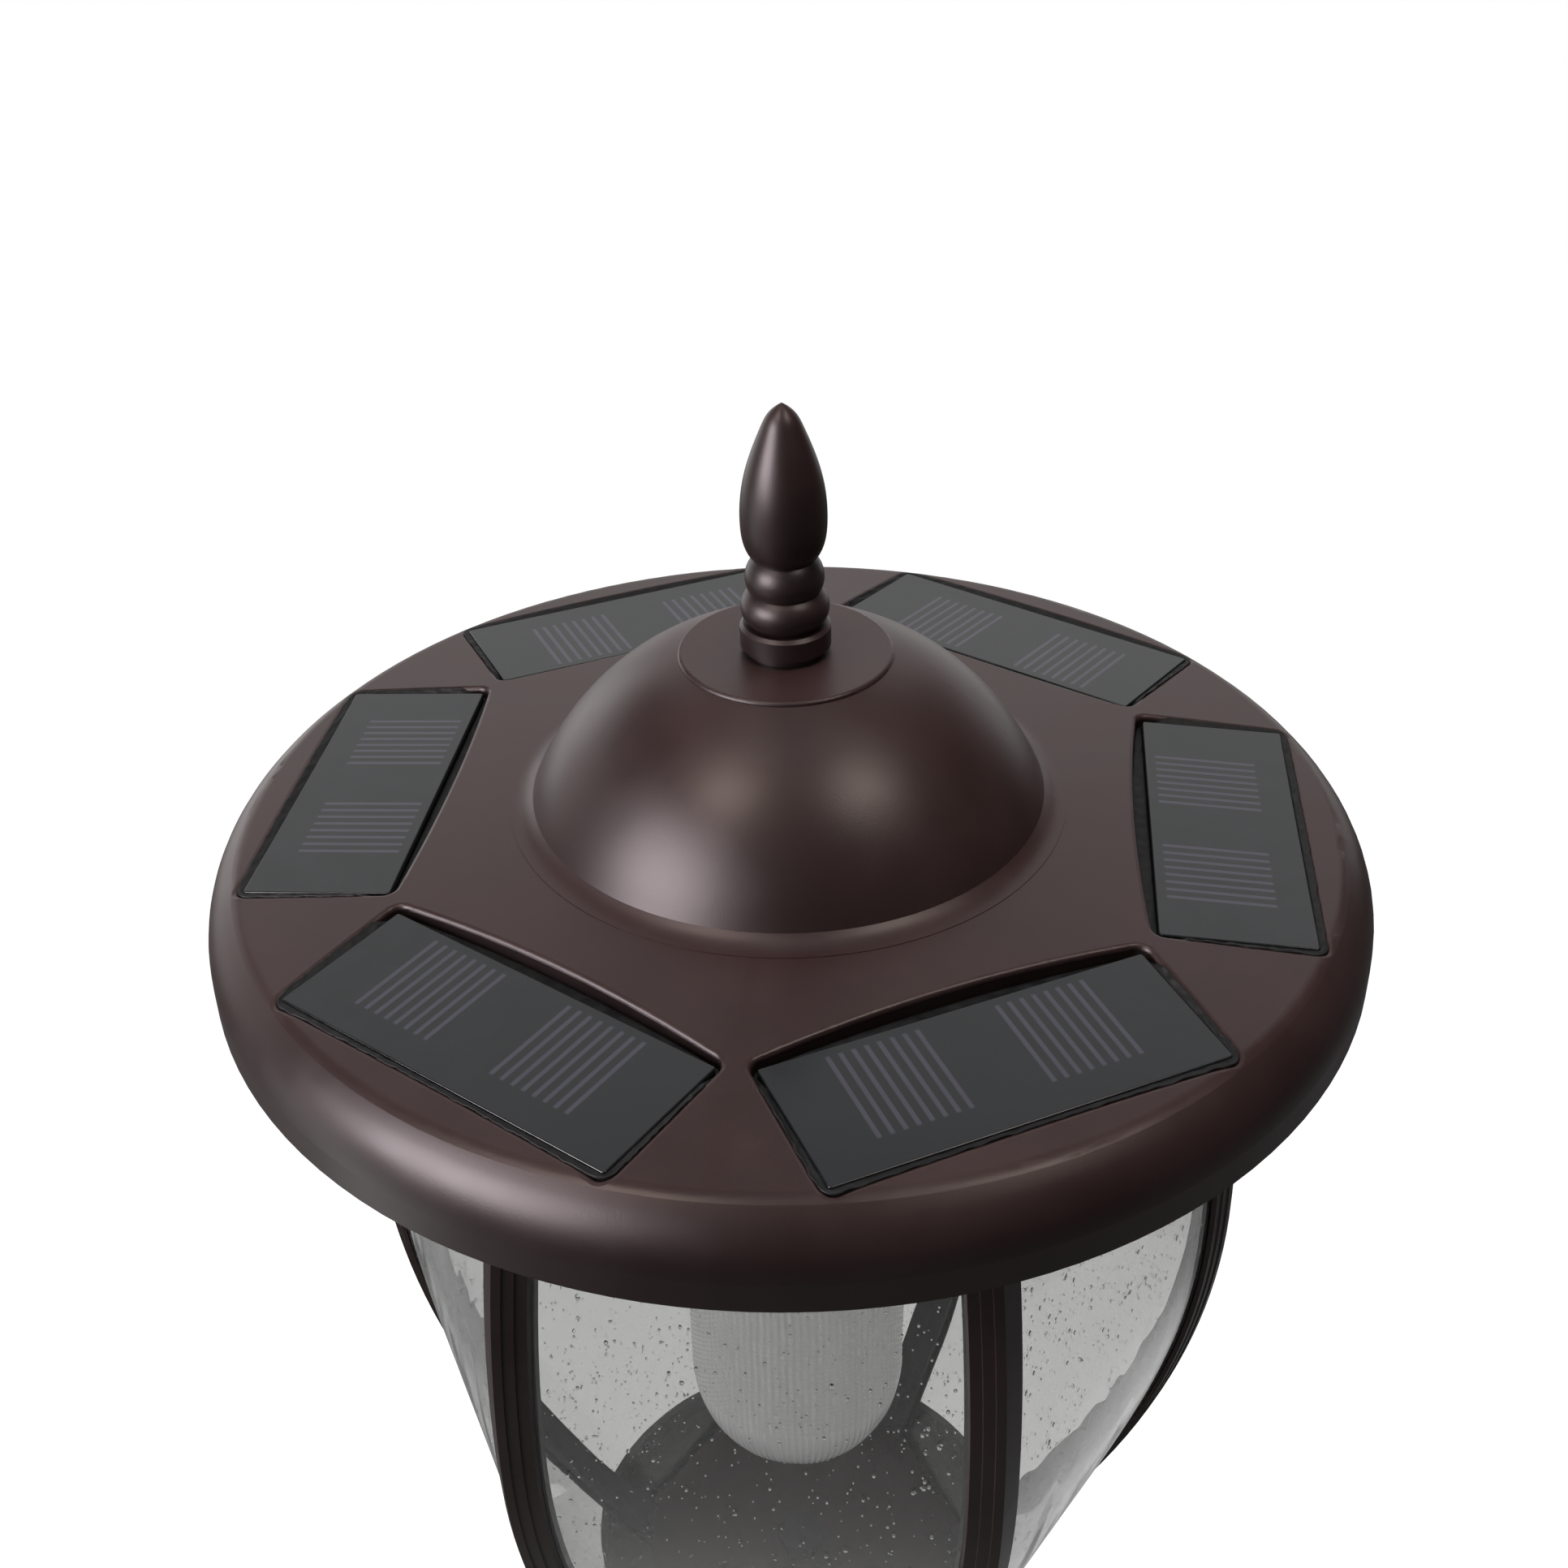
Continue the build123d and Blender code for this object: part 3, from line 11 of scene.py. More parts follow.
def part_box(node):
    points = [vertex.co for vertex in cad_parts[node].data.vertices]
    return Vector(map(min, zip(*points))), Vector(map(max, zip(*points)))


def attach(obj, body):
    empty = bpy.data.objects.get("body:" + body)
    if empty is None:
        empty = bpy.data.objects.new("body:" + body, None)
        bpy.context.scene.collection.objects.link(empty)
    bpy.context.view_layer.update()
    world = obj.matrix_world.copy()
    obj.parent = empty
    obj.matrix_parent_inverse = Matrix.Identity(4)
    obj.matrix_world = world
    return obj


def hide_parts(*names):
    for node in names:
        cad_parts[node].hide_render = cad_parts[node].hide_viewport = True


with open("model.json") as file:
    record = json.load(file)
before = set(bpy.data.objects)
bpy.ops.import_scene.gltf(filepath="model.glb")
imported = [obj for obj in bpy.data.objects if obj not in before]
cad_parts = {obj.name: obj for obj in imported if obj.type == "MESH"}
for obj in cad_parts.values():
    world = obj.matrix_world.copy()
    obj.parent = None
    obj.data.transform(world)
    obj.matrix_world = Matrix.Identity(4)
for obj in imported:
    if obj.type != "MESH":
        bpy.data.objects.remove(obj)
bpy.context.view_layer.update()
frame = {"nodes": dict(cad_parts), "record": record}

bl_info = {
    "name": "Solar lamp post",
    "version": (1, 0, 0),
    "blender": (4, 5, 0),
    "location": "3D View > Sidebar > Lamp post",
    "description": "Dresses the frame of a solar lamp post and sets up its studio",
    "category": "Object",
}

# Measures of the frame, in metres and radians. A panel's glass is drawn larger than its solid all round,
# which leaves a narrower gap in the pocket.
MM = 0.001
SIDES = 6
SIDE_TURN = 2 * pi / SIDES
PANEL_RADIUS = 132.6289 * MM
PANEL_LEVEL = 1945.59 * MM
PANEL_TILT = radians(3.0)
PANEL_OVERSIZE = 0.8 * MM
PANEL_HALF_OUT = 21.5 * MM + PANEL_OVERSIZE
PANEL_HALF_ALONG = 57.0 * MM + PANEL_OVERSIZE
PANEL_THICKNESS = 3.2 * MM
PANEL_CORNER = 1.0 * MM
POCKET_GAP = 2.6 * MM - PANEL_OVERSIZE
POCKET_BOW = 3.2 * MM
POCKET_CORNER = 4.0 * MM
POCKET_DEPTH = 4.0 * MM
ROOF_SLOPE = radians(5.5)
RIM_TOP_RADIUS = 165.5289 * MM
RIM_TOP_LEVEL = 1944.1221 * MM
BROW_ROUND = 7.0 * MM
PANE_BELLY = 128.0698 * MM
PANE_UPPER_BOW = 614.9265 * MM
PANE_LOWER_BOW = 310.4073 * MM
PANE_APEX = 3.0 * MM
PANE_THICKNESS = 3.0 * MM
PANE_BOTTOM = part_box("glass_pane_1")[0][2]
PANE_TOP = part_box("glass_pane_1")[1][2]
BELLY_LEVEL = 1783.0 * MM
JAR_RADIUS = 39.5 * MM
JAR_WALL = 2.5 * MM
JAR_FLANGE = 42.5 * MM
JAR_FLANGE_BOTTOM = 1869.5 * MM
JAR_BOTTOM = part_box("diffuser")[0][2]
JAR_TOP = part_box("diffuser")[1][2]

# Fine shape of the dressing; the sealant's foot is in shares of the pocket's depth and gap
SEALANT_SUNK = 0.15 * MM
SEALANT_PROUD = 0.12 * MM
SEALANT_TUCK = 0.6 * MM
SEALANT_FOOT_DEPTH = 0.97
SEALANT_FOOT_WIDTH = 0.96
PANE_RIPPLE_REACH = 60.0 * MM
PANE_RIPPLE_STRETCH = 0.25
SEED_LEAST = 0.15 * MM
SEED_MOST = 0.9 * MM
SEED_FOOT_MARGIN = 6.0 * MM
SEED_HEAD_MARGIN = 4.0 * MM
SEED_SPAN = 0.86
JAR_EASE = 0.3 * MM
JAR_FADE = 6.0 * MM
FLUTE_SWAY = 0.35
FLUTE_SWAY_PITCH = 31.0 * MM
FLUTE_SWAY_TURNS = 3
RIPPLE_SWAY = 1.6
RIPPLE_SWAY_TURNS = 5

# First seeds of the random draws
SEALANT_SEED = 40
LUMPS_SEED = 90
PANE_SEED = 70
BUBBLE_SEED = 90

# Steps of the meshes
CORNER_STEPS = 7
SIDE_STEPS = 90
SEALANT_ROWS = 9
PANE_COLUMNS = 36
PANE_ROWS = 80
SEED_SIDES = 6
JAR_BEND_ROWS = 24
JAR_RISE_ROWS = 12
ROWS_PER_RIPPLE = 4
COLUMNS_PER_FLUTE = 6

# Lines on a panel's cells, in shares of its length, of one pitch and of its width
LINE_GROUPS = ((0.145, 0.401), (0.575, 0.831))
LINE_PITCH = 0.032
LINE_EDGE = (0.12, 0.24)
LINES_BEGIN = (0.06, 0.08)
LINES_END = (0.76, 0.78)

# Studio, in metres and degrees, with the lens and the sensor in millimetres
ROOF_CENTRE = (0.0, 0.0, 1.96)
POST_CENTRE = (0.0, 0.0, 0.95)
FLOOR_HALF = 20.0
FLOOR_ROUGHNESS = 0.9
FLOOR_WHITE = 0.97
FLOOR_IN_GLOSS = 0.02
# Reach and samples of the ambient occlusion that paints the floor's contact shadow
PAINTED_SHADOW_REACH = 0.35
PAINTED_SHADOW_SAMPLES = 4
WORLD_LIGHT = 0.05
CAMERA_LENS = 45.6
CAMERA_SENSOR = 36.0
CAMERA_SPOT = (0.06026985, -0.50885918, 2.28467289)
CAMERA_TURN = (57.11527, 0.91538, 6.30821)


def length(name, description, default):
    """A size that a user may change."""
    return bpy.props.FloatProperty(name=name, description=description, default=default, unit="LENGTH",
                                   precision=5)


def count(name, description, default):
    """A number of like features that a user may change."""
    return bpy.props.IntProperty(name=name, description=description, default=default, min=1)


def colour(name, description, default):
    """A linear colour that a user may change."""
    return bpy.props.FloatVectorProperty(name=name, description=description, default=default,
                                         subtype="COLOR", size=3, min=0.0, max=1.0)


class LampSizes(bpy.types.PropertyGroup):
    """Sizes of the pieces that dress the frame."""
    panel_bevel: length("Panel bevel", "Width of the eased edge of a panel's glass", 0.4 * MM)
    sealant_low: length("Sealant, dome side", "Depth of the sealant below the glass on the dome side",
                        2.6 * MM)
    sealant_shy: length("Sealant, other sides", "Depth of the sealant below the glass on the other sides",
                        0.5 * MM)
    sealant_spill: length("Sealant spill", "How far the sealant runs over the pocket's lip", 0.35 * MM)
    sealant_lumps: length("Sealant lumps", "Height of the sealant's lumps and raggedness of its edge",
                          0.3 * MM)
    pane_ripple: length("Pane ripple", "Depth of the slow ripple in a pane's faces", 0.03 * MM)
    seed_count: count("Seeds per pane", "Bubbles in one pane of glass", 1300)
    seed_radius: length("Seed radius", "Usual radius of a bubble in the glass", 0.34 * MM)
    flute_count: count("Diffuser flutes", "Upright flutes round the diffuser", 96)
    flute_depth: length("Flute depth", "Depth of the diffuser's flutes", 0.55 * MM)
    ripple_pitch: length("Diffuser ripple", "Height of one ripple down the diffuser", 2.4 * MM)
    ripple_depth: length("Ripple depth", "Depth of the diffuser's ripples", 0.3 * MM)


class LampColours(bpy.types.PropertyGroup):
    """Colours of the finishes, as linear values."""
    bronze_dark: colour("Bronze, dark", "Darker tone of the powder coat", (0.037, 0.0178, 0.0170))
    bronze_light: colour("Bronze, light", "Lighter tone of the powder coat", (0.047, 0.0236, 0.0226))
    cell: colour("Solar cell", "Cells behind a panel's glass", (0.0150, 0.0160, 0.0175))
    cell_line: colour("Cell line", "Fine conductor lines on the cells", (0.060, 0.055, 0.074))
    # The panes' grey tint is painted shade: it stands in for the dimmer surroundings seen through the glass
    pane: colour("Pane glass", "Tint of the seeded panes", (0.61, 0.615, 0.607))
    jar: colour("Diffuser", "Tint of the diffuser, which is more milky than clear", (0.965, 0.97, 0.97))
    sealant: colour("Sealant", "Cured black sealant", (0.006, 0.006, 0.0065))
    floor: colour("Floor", "Plain pale floor", (0.50, 0.50, 0.50))


def grid_quads(rows, columns, wrap):
    """Corner numbers of the quads of a grid; wrap joins the last column to the first."""
    row, column = np.meshgrid(np.arange(rows - 1), np.arange(columns if wrap else columns - 1), indexing="ij")
    following = (column + 1) % columns
    corners = (row * columns + column, row * columns + following,
               (row + 1) * columns + following, (row + 1) * columns + column)
    return np.stack(corners, axis=-1).reshape(-1, 4)


def new_piece(name, points, faces, material, body, nodes, flat=(), uv=None):
    """A closed mesh piece from an array of points and arrays of face corners, riding on a body.

    Faces of one array have the same number of corners; flat names the arrays that keep a hard edge.
    """
    mesh = bpy.data.meshes.new(name)
    corners = np.concatenate([array.ravel() for array in faces]).astype(np.int32)
    totals = np.concatenate([np.full(len(array), array.shape[1]) for array in faces]).astype(np.int32)
    mesh.vertices.add(len(points))
    mesh.vertices.foreach_set("co", np.ascontiguousarray(points, dtype=np.float32).ravel())
    mesh.loops.add(len(corners))
    mesh.loops.foreach_set("vertex_index", corners)
    mesh.polygons.add(len(totals))
    mesh.polygons.foreach_set("loop_start", np.concatenate(((0,), np.cumsum(totals)[:-1])).astype(np.int32))
    mesh.polygons.foreach_set("loop_total", totals)
    smooth = np.concatenate([np.full(len(array), place not in flat) for place, array in enumerate(faces)])
    mesh.polygons.foreach_set("use_smooth", smooth)
    if uv is not None:
        layer = mesh.uv_layers.new(name="face")
        layer.uv.foreach_set("vector", np.ascontiguousarray(uv[corners], dtype=np.float32).ravel())
    mesh.update(calc_edges=True)
    mesh.validate()
    shell = bmesh.new()
    shell.from_mesh(mesh)
    bmesh.ops.recalc_face_normals(shell, faces=shell.faces)
    shell.to_mesh(mesh)
    shell.free()
    mesh.materials.append(material)
    piece = bpy.data.objects.new(name, mesh)
    bpy.context.scene.collection.objects.link(piece)
    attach(piece, body)
    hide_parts(*nodes)
    return piece


def turned(points, angle):
    """Points turned about the post's axis: x and y mixed by the angle's cosine and sine."""
    turn = np.array(((cos(angle), sin(angle), 0), (-sin(angle), cos(angle), 0), (0, 0, 1)))
    return points @ turn


def on_roof(points, angle):
    """Panel coordinates (out, along, up), tilted to the roof's slope, set out and turned to a side."""
    out = PANEL_RADIUS + points[..., 0] * cos(PANEL_TILT) + points[..., 2] * sin(PANEL_TILT)
    up = PANEL_LEVEL - points[..., 0] * sin(PANEL_TILT) + points[..., 2] * cos(PANEL_TILT)
    return turned(np.stack((out, points[..., 1], up), axis=-1), angle)


def rounded_outline(half_out, half_along, corner, steps):
    """Closed outline of a round-cornered rectangle: a quarter circle about each of four centres."""
    angle = np.arange(4)[:, None] * pi / 2 + np.linspace(0, pi / 2, steps)
    out = np.array((1, -1, -1, 1))[:, None] * (half_out - corner) + corner * np.cos(angle)
    along = np.array((1, 1, -1, -1))[:, None] * (half_along - corner) + corner * np.sin(angle)
    return np.stack((out.ravel(), along.ravel()), axis=-1)


def waves(first, second, seed, terms, low, high):
    """Smooth noise of two coordinates, mostly from -1 to 1: summed sines of random direction and phase."""
    random = np.random.default_rng(seed)
    pitch = random.uniform(low, high, terms)
    heading = random.uniform(0, 2 * pi, terms)
    phase = random.uniform(0, 2 * pi, terms)
    swing = (first[..., None] * np.cos(heading) + second[..., None] * np.sin(heading)) * 2 * pi / pitch
    return np.sin(swing + phase).mean(axis=-1) * np.sqrt(terms / 2)


def link_or_set(tree, socket, value):
    """Link a socket to the one given as its value, or set its value."""
    if isinstance(value, bpy.types.NodeSocket):
        tree.links.new(value, socket)
    else:
        socket.default_value = value


def add_node(tree, kind, inputs=None, **settings):
    """A node with settings, whose inputs are set or linked by name or place."""
    made = tree.nodes.new(kind)
    for key, value in settings.items():
        setattr(made, key, value)
    for key, value in (inputs or {}).items():
        link_or_set(tree, made.inputs[key], value)
    return made


def calculate(tree, operation, *values):
    """The result of one step of arithmetic."""
    return add_node(tree, "ShaderNodeMath", dict(enumerate(values)), operation=operation).outputs[0]


def spread(tree, value, low, high, start, end):
    """A value carried smoothly from one span to another, held at its ends."""
    places = {0: value, 1: low, 2: high, 3: start, 4: end}
    return add_node(tree, "ShaderNodeMapRange", places, interpolation_type="SMOOTHSTEP").outputs[0]


def blend_colours(tree, share, first, second):
    """A colour between two, by a share."""
    mixed = add_node(tree, "ShaderNodeMix", {0: share}, data_type="RGBA")
    link_or_set(tree, mixed.inputs[6], first)
    link_or_set(tree, mixed.inputs[7], second)
    return mixed.outputs[2]


def opaque(rgb):
    """A colour with full alpha."""
    return (*rgb, 1.0)


def grain_group():
    """Node group of a coated or moulded surface: fine grain as height, slow mottling as a mask."""
    made = bpy.data.node_groups.get("surface_grain")
    if made:
        return made
    made = bpy.data.node_groups.new("surface_grain", "ShaderNodeTree")
    for name, default in (("Grain scale", 1200.0), ("Mottle scale", 40.0)):
        socket = made.interface.new_socket(name=name, in_out="INPUT", socket_type="NodeSocketFloat")
        socket.default_value = default
    for name in ("Height", "Mottle"):
        made.interface.new_socket(name=name, in_out="OUTPUT", socket_type="NodeSocketFloat")
    given = made.nodes.new("NodeGroupInput").outputs
    place = made.nodes.new("ShaderNodeTexCoord").outputs["Object"]
    fine = add_node(made, "ShaderNodeTexNoise", {"Vector": place, "Scale": given[0], "Detail": 3.0})
    slow = add_node(made, "ShaderNodeTexNoise", {"Vector": place, "Scale": given[1], "Detail": 4.0})
    result = made.nodes.new("NodeGroupOutput")
    made.links.new(fine.outputs[0], result.inputs[0])
    made.links.new(spread(made, slow.outputs[0], 0.3, 0.7, 0.0, 1.0), result.inputs[1])
    return made


def new_material(name):
    """An empty material with a Principled shader; gives the material, its tree and the shader's inputs."""
    material = bpy.data.materials.new(name)
    material.use_nodes = True
    tree = material.node_tree
    shader = next(node for node in tree.nodes if node.type == "BSDF_PRINCIPLED")
    return material, tree, shader.inputs


def grained_material(name, dark, light, roughness, metallic=0.0, specular=0.5, grain=1200.0, mottle=40.0,
                     depth=0.05 * MM):
    """A coated, moulded or plated surface: two tones by the mottling, roughness with it, and fine grain."""
    smoother, rougher = 0.92 * roughness, 1.08 * roughness
    material, tree, inputs = new_material(name)
    surface = tree.nodes.new("ShaderNodeGroup")
    surface.node_tree = grain_group()
    surface.inputs["Grain scale"].default_value = grain
    surface.inputs["Mottle scale"].default_value = mottle
    mask = surface.outputs["Mottle"]
    link_or_set(tree, inputs["Base Color"], blend_colours(tree, mask, opaque(dark), opaque(light)))
    link_or_set(tree, inputs["Roughness"], spread(tree, mask, 0.0, 1.0, smoother, rougher))
    inputs["Metallic"].default_value = metallic
    inputs["Specular IOR Level"].default_value = specular
    bump = add_node(tree, "ShaderNodeBump", {"Strength": 0.35, "Distance": depth,
                                             "Height": surface.outputs["Height"]})
    link_or_set(tree, inputs["Normal"], bump.outputs[0])
    return material


def line_group(tree, along, start, end):
    """Mask of one group of lines: inside its span, and near the middle of each step of the pitch."""
    steps = calculate(tree, "DIVIDE", calculate(tree, "SUBTRACT", along, start), LINE_PITCH)
    off_line = calculate(tree, "ABSOLUTE", calculate(tree, "SUBTRACT", calculate(tree, "FRACT", steps), 0.5))
    line = spread(tree, off_line, *LINE_EDGE, 1.0, 0.0)
    inside = calculate(tree, "MULTIPLY", calculate(tree, "GREATER_THAN", along, start),
                       calculate(tree, "LESS_THAN", along, end))
    return calculate(tree, "MULTIPLY", line, inside)


def panel_material(colours):
    """Dark glass over cells: two groups of eight fine lines across the panel, read from its own UV map."""
    material, tree, inputs = new_material("panel_glass")
    face = add_node(tree, "ShaderNodeUVMap", uv_map="face").outputs[0]
    split = add_node(tree, "ShaderNodeSeparateXYZ", {0: face}).outputs
    along, across = split[0], split[1]
    groups = calculate(tree, "ADD", *(line_group(tree, along, *span) for span in LINE_GROUPS))
    band = calculate(tree, "MULTIPLY", spread(tree, across, *LINES_BEGIN, 0.0, 1.0),
                     spread(tree, across, *LINES_END, 1.0, 0.0))
    lines = calculate(tree, "MULTIPLY", groups, band)
    place = tree.nodes.new("ShaderNodeTexCoord").outputs["Object"]
    dust = add_node(tree, "ShaderNodeTexNoise", {"Vector": place, "Scale": 90.0, "Detail": 5.0}).outputs[0]
    cell = blend_colours(tree, spread(tree, dust, 0.35, 0.75, 0.0, 1.0), opaque(colours.cell),
                         opaque([1.35 * value for value in colours.cell]))
    link_or_set(tree, inputs["Base Color"], blend_colours(tree, lines, cell, opaque(colours.cell_line)))
    link_or_set(tree, inputs["Roughness"], spread(tree, dust, 0.3, 0.8, 0.16, 0.26))
    inputs["IOR"].default_value = 1.5
    inputs["Specular IOR Level"].default_value = 0.35
    return material


def glass_material(name, tint, ior, ripple_scale, ripple_depth, roughness, clear=1.0):
    """Tinted glass with a slow ripple as bump; what isn't clear is milky."""
    material, tree, inputs = new_material(name)
    inputs["Base Color"].default_value = opaque(tint)
    inputs["Roughness"].default_value = roughness
    inputs["IOR"].default_value = ior
    inputs["Transmission Weight"].default_value = clear
    place = tree.nodes.new("ShaderNodeTexCoord").outputs["Object"]
    stretched = add_node(tree, "ShaderNodeMapping", {"Vector": place, "Scale": (1.0, 1.0, 0.45)}).outputs[0]
    ripple = add_node(tree, "ShaderNodeTexNoise", {"Vector": stretched, "Scale": ripple_scale, "Detail": 1.5})
    bump = add_node(tree, "ShaderNodeBump", {"Strength": 1.0, "Distance": ripple_depth,
                                             "Height": ripple.outputs[0]})
    link_or_set(tree, inputs["Normal"], bump.outputs[0])
    return material


def sealant_material(tone):
    """Cured sealant: black and matt, with a fine uneven skin."""
    return grained_material("cured_sealant", tone, [1.8 * value for value in tone], 0.6, specular=0.25,
                            grain=700.0, mottle=220.0, depth=0.15 * MM)


def bronze_material(colours):
    """Satin powder coat in dark bronze."""
    return grained_material("bronze_powder_coat", colours.bronze_dark, colours.bronze_light, 0.38,
                            specular=0.35, grain=1500.0, mottle=26.0, depth=0.06 * MM)


def frame_materials(colours):
    """The finish of every material slot that shows on the frame itself."""
    return {
        "bronze_paint": bronze_material(colours),
        "zinc_steel": grained_material("zinc_plate", (0.42, 0.43, 0.44), (0.58, 0.59, 0.61), 0.34,
                                       metallic=1.0, grain=2200.0, mottle=180.0),
        "black_steel": grained_material("black_oxide", (0.022, 0.022, 0.023), (0.04, 0.04, 0.041), 0.42,
                                        metallic=0.6, grain=2200.0, mottle=240.0),
        "black_plastic": grained_material("moulded_black", (0.016, 0.016, 0.017), (0.024, 0.024, 0.025), 0.5,
                                          grain=1800.0, mottle=60.0),
        "knob_plastic": grained_material("moulded_grey", (0.52, 0.52, 0.50), (0.62, 0.62, 0.60), 0.45,
                                         grain=2500.0, mottle=300.0),
        "black_rubber": grained_material("black_rubber", (0.012, 0.012, 0.013), (0.02, 0.02, 0.021), 0.62,
                                         grain=1600.0, mottle=90.0),
        "liner_sheet": grained_material("mill_sheet", (0.62, 0.62, 0.62), (0.74, 0.74, 0.75), 0.38,
                                        metallic=1.0, grain=900.0, mottle=30.0),
        "cell_sleeve": grained_material("shrink_sleeve", (0.06, 0.16, 0.38), (0.09, 0.22, 0.48), 0.26,
                                        grain=800.0, mottle=120.0),
        "board": grained_material("solder_mask", (0.02, 0.12, 0.05), (0.04, 0.18, 0.08), 0.4,
                                  grain=1600.0, mottle=350.0),
        "white_board": grained_material("white_mask", (0.72, 0.72, 0.71), (0.82, 0.82, 0.81), 0.42,
                                        grain=1600.0, mottle=200.0),
        "led_lens": grained_material("yellow_lens", (0.78, 0.66, 0.30), (0.86, 0.78, 0.45), 0.2,
                                     grain=2600.0, mottle=500.0),
    }


def panel_slab(sizes):
    """One panel's points, faces and UV: a bevelled edge profile carried round a round-cornered rectangle."""
    bevel = sizes.panel_bevel
    insets = np.array((0.0, 0.0, 0.3, 1.0)) * bevel
    levels = np.array((-PANEL_THICKNESS, -bevel, -0.3 * bevel, 0.0))
    outlines = [rounded_outline(PANEL_HALF_OUT - inset, PANEL_HALF_ALONG - inset, PANEL_CORNER - inset,
                                CORNER_STEPS) for inset in insets]
    columns = len(outlines[0])
    points = np.concatenate([np.column_stack((outline, np.full(columns, level)))
                             for outline, level in zip(outlines, levels)])
    quads = grid_quads(len(levels), columns, True)
    caps = np.stack((np.arange(columns), np.arange(columns) + (len(levels) - 1) * columns))
    uv = points[:, 1::-1] / (2 * PANEL_HALF_ALONG, 2 * PANEL_HALF_OUT) + 0.5
    return points, [quads, caps], uv


def roof_rise(out, along):
    """Height of the roof's face over a panel's plane: a slope by the radius, then the brow's circle."""
    radius = np.hypot(PANEL_RADIUS + out * cos(PANEL_TILT), along)
    slope = RIM_TOP_LEVEL + (RIM_TOP_RADIUS - radius) * np.tan(ROOF_SLOPE)
    past = np.clip(radius - RIM_TOP_RADIUS + BROW_ROUND * sin(ROOF_SLOPE), 0, 0.9 * BROW_ROUND)
    brow = RIM_TOP_LEVEL - BROW_ROUND * cos(ROOF_SLOPE) + np.sqrt(BROW_ROUND**2 - past**2)
    return np.where(radius < RIM_TOP_RADIUS, slope, brow) - PANEL_LEVEL + out * sin(PANEL_TILT)


def filled_outline(half_out, half_along, corner):
    """Outline of a round-cornered rectangle with even points along its straight sides too."""
    arcs = rounded_outline(half_out, half_along, corner, CORNER_STEPS).reshape(4, CORNER_STEPS, 2)
    share = np.linspace(0, 1, SIDE_STEPS + 2)[1:-1, None]
    sides = arcs[:, -1:] + (np.roll(arcs, -1, axis=0)[:, :1] - arcs[:, -1:]) * share
    return np.concatenate((arcs, sides), axis=1).reshape(-1, 2)


def sealant_ring(sizes, number):
    """One bead: a profile across the gap carried round the panel, from the glass to the pocket's lip.

    It lies deep on the dome side, where the pocket is bowed as a parabola, and runs over the lip on the
    other sides. Smooth noise along the bead makes its edge ragged and its face lumpy.
    """
    edge = filled_outline(PANEL_HALF_OUT, PANEL_HALF_ALONG, PANEL_CORNER)
    wall, over = (filled_outline(PANEL_HALF_OUT + POCKET_GAP + spill, PANEL_HALF_ALONG + POCKET_GAP + spill,
                                 POCKET_CORNER + spill) for spill in (0, MM))
    bow = np.clip(-edge[:, 0] / PANEL_HALF_OUT, 0, 1)**8 * (1 - (edge[:, 1] / PANEL_HALF_ALONG)**2)
    wall[:, 0] -= POCKET_BOW * bow
    over[:, 0] -= POCKET_BOW * bow
    # How full the gap is: 0 along the dome side, rising to 1 on the other sides
    filled = np.clip((edge[:, 0] / PANEL_HALF_OUT + 0.98) / 0.3, 0, 1)
    run = np.cumsum(np.hypot(*(edge - np.roll(edge, 1, axis=0)).T))
    ragged = waves(run, 0 * run, SEALANT_SEED + number, terms=12, low=1.5 * MM, high=9 * MM)
    spill = filled * (sizes.sealant_spill + sizes.sealant_lumps * ragged) - SEALANT_SUNK * (1 - filled)
    rim = wall + (over - wall) * (spill / MM)[:, None]
    share = np.linspace(0.02, 1.0, SEALANT_ROWS)[:, None]
    plan = edge[None] + (rim - edge)[None] * share[..., None]
    inner = -sizes.sealant_low + filled * (sizes.sealant_low - sizes.sealant_shy)
    outer = -sizes.sealant_low + filled * (sizes.sealant_low + roof_rise(*rim.T) + SEALANT_PROUD)
    lumps = waves(run[None] + 0 * share, share * 4 * MM + 0 * run[None], LUMPS_SEED + number,
                  terms=14, low=2.5 * MM, high=9 * MM)
    height = inner + (outer - inner) * share + sizes.sealant_lumps * lumps * np.sin(pi * share)
    top = np.concatenate((plan, height[..., None]), axis=-1)
    floor = np.full((1, len(edge), 1), -SEALANT_FOOT_DEPTH * POCKET_DEPTH)
    inner_foot = np.concatenate((top[:1, :, :2], floor), axis=-1)
    tuck = top[-1:] - np.array((0, 0, SEALANT_TUCK))
    outer_foot = np.concatenate((edge[None] + SEALANT_FOOT_WIDTH * (wall - edge)[None], floor), axis=-1)
    rings = np.concatenate((inner_foot, top, tuck, outer_foot))
    first = np.arange(len(edge))
    last = first + (len(rings) - 1) * len(edge)
    under = np.stack((first, last, np.roll(last, -1), np.roll(first, -1)), axis=-1)
    return rings.reshape(-1, 3), np.concatenate((grid_quads(len(rings), len(edge), True), under))


def pane_out(level, inset):
    """How far out a pane's face is at a height: an arc that bulges to the belly, set in from it."""
    bow = np.where(level > BELLY_LEVEL, PANE_UPPER_BOW, PANE_LOWER_BOW)
    return PANE_BELLY - bow + np.sqrt((bow - inset)**2 - (level - BELLY_LEVEL)**2)


def pane_point(side, level, inset):
    """Point of a pane at a share of its width, a height and a depth in the glass: out, along and up."""
    out = pane_out(level, inset)
    along = side * (out - PANE_APEX) * np.tan(SIDE_TURN / 2)
    return np.stack((out, along, level), axis=-1)


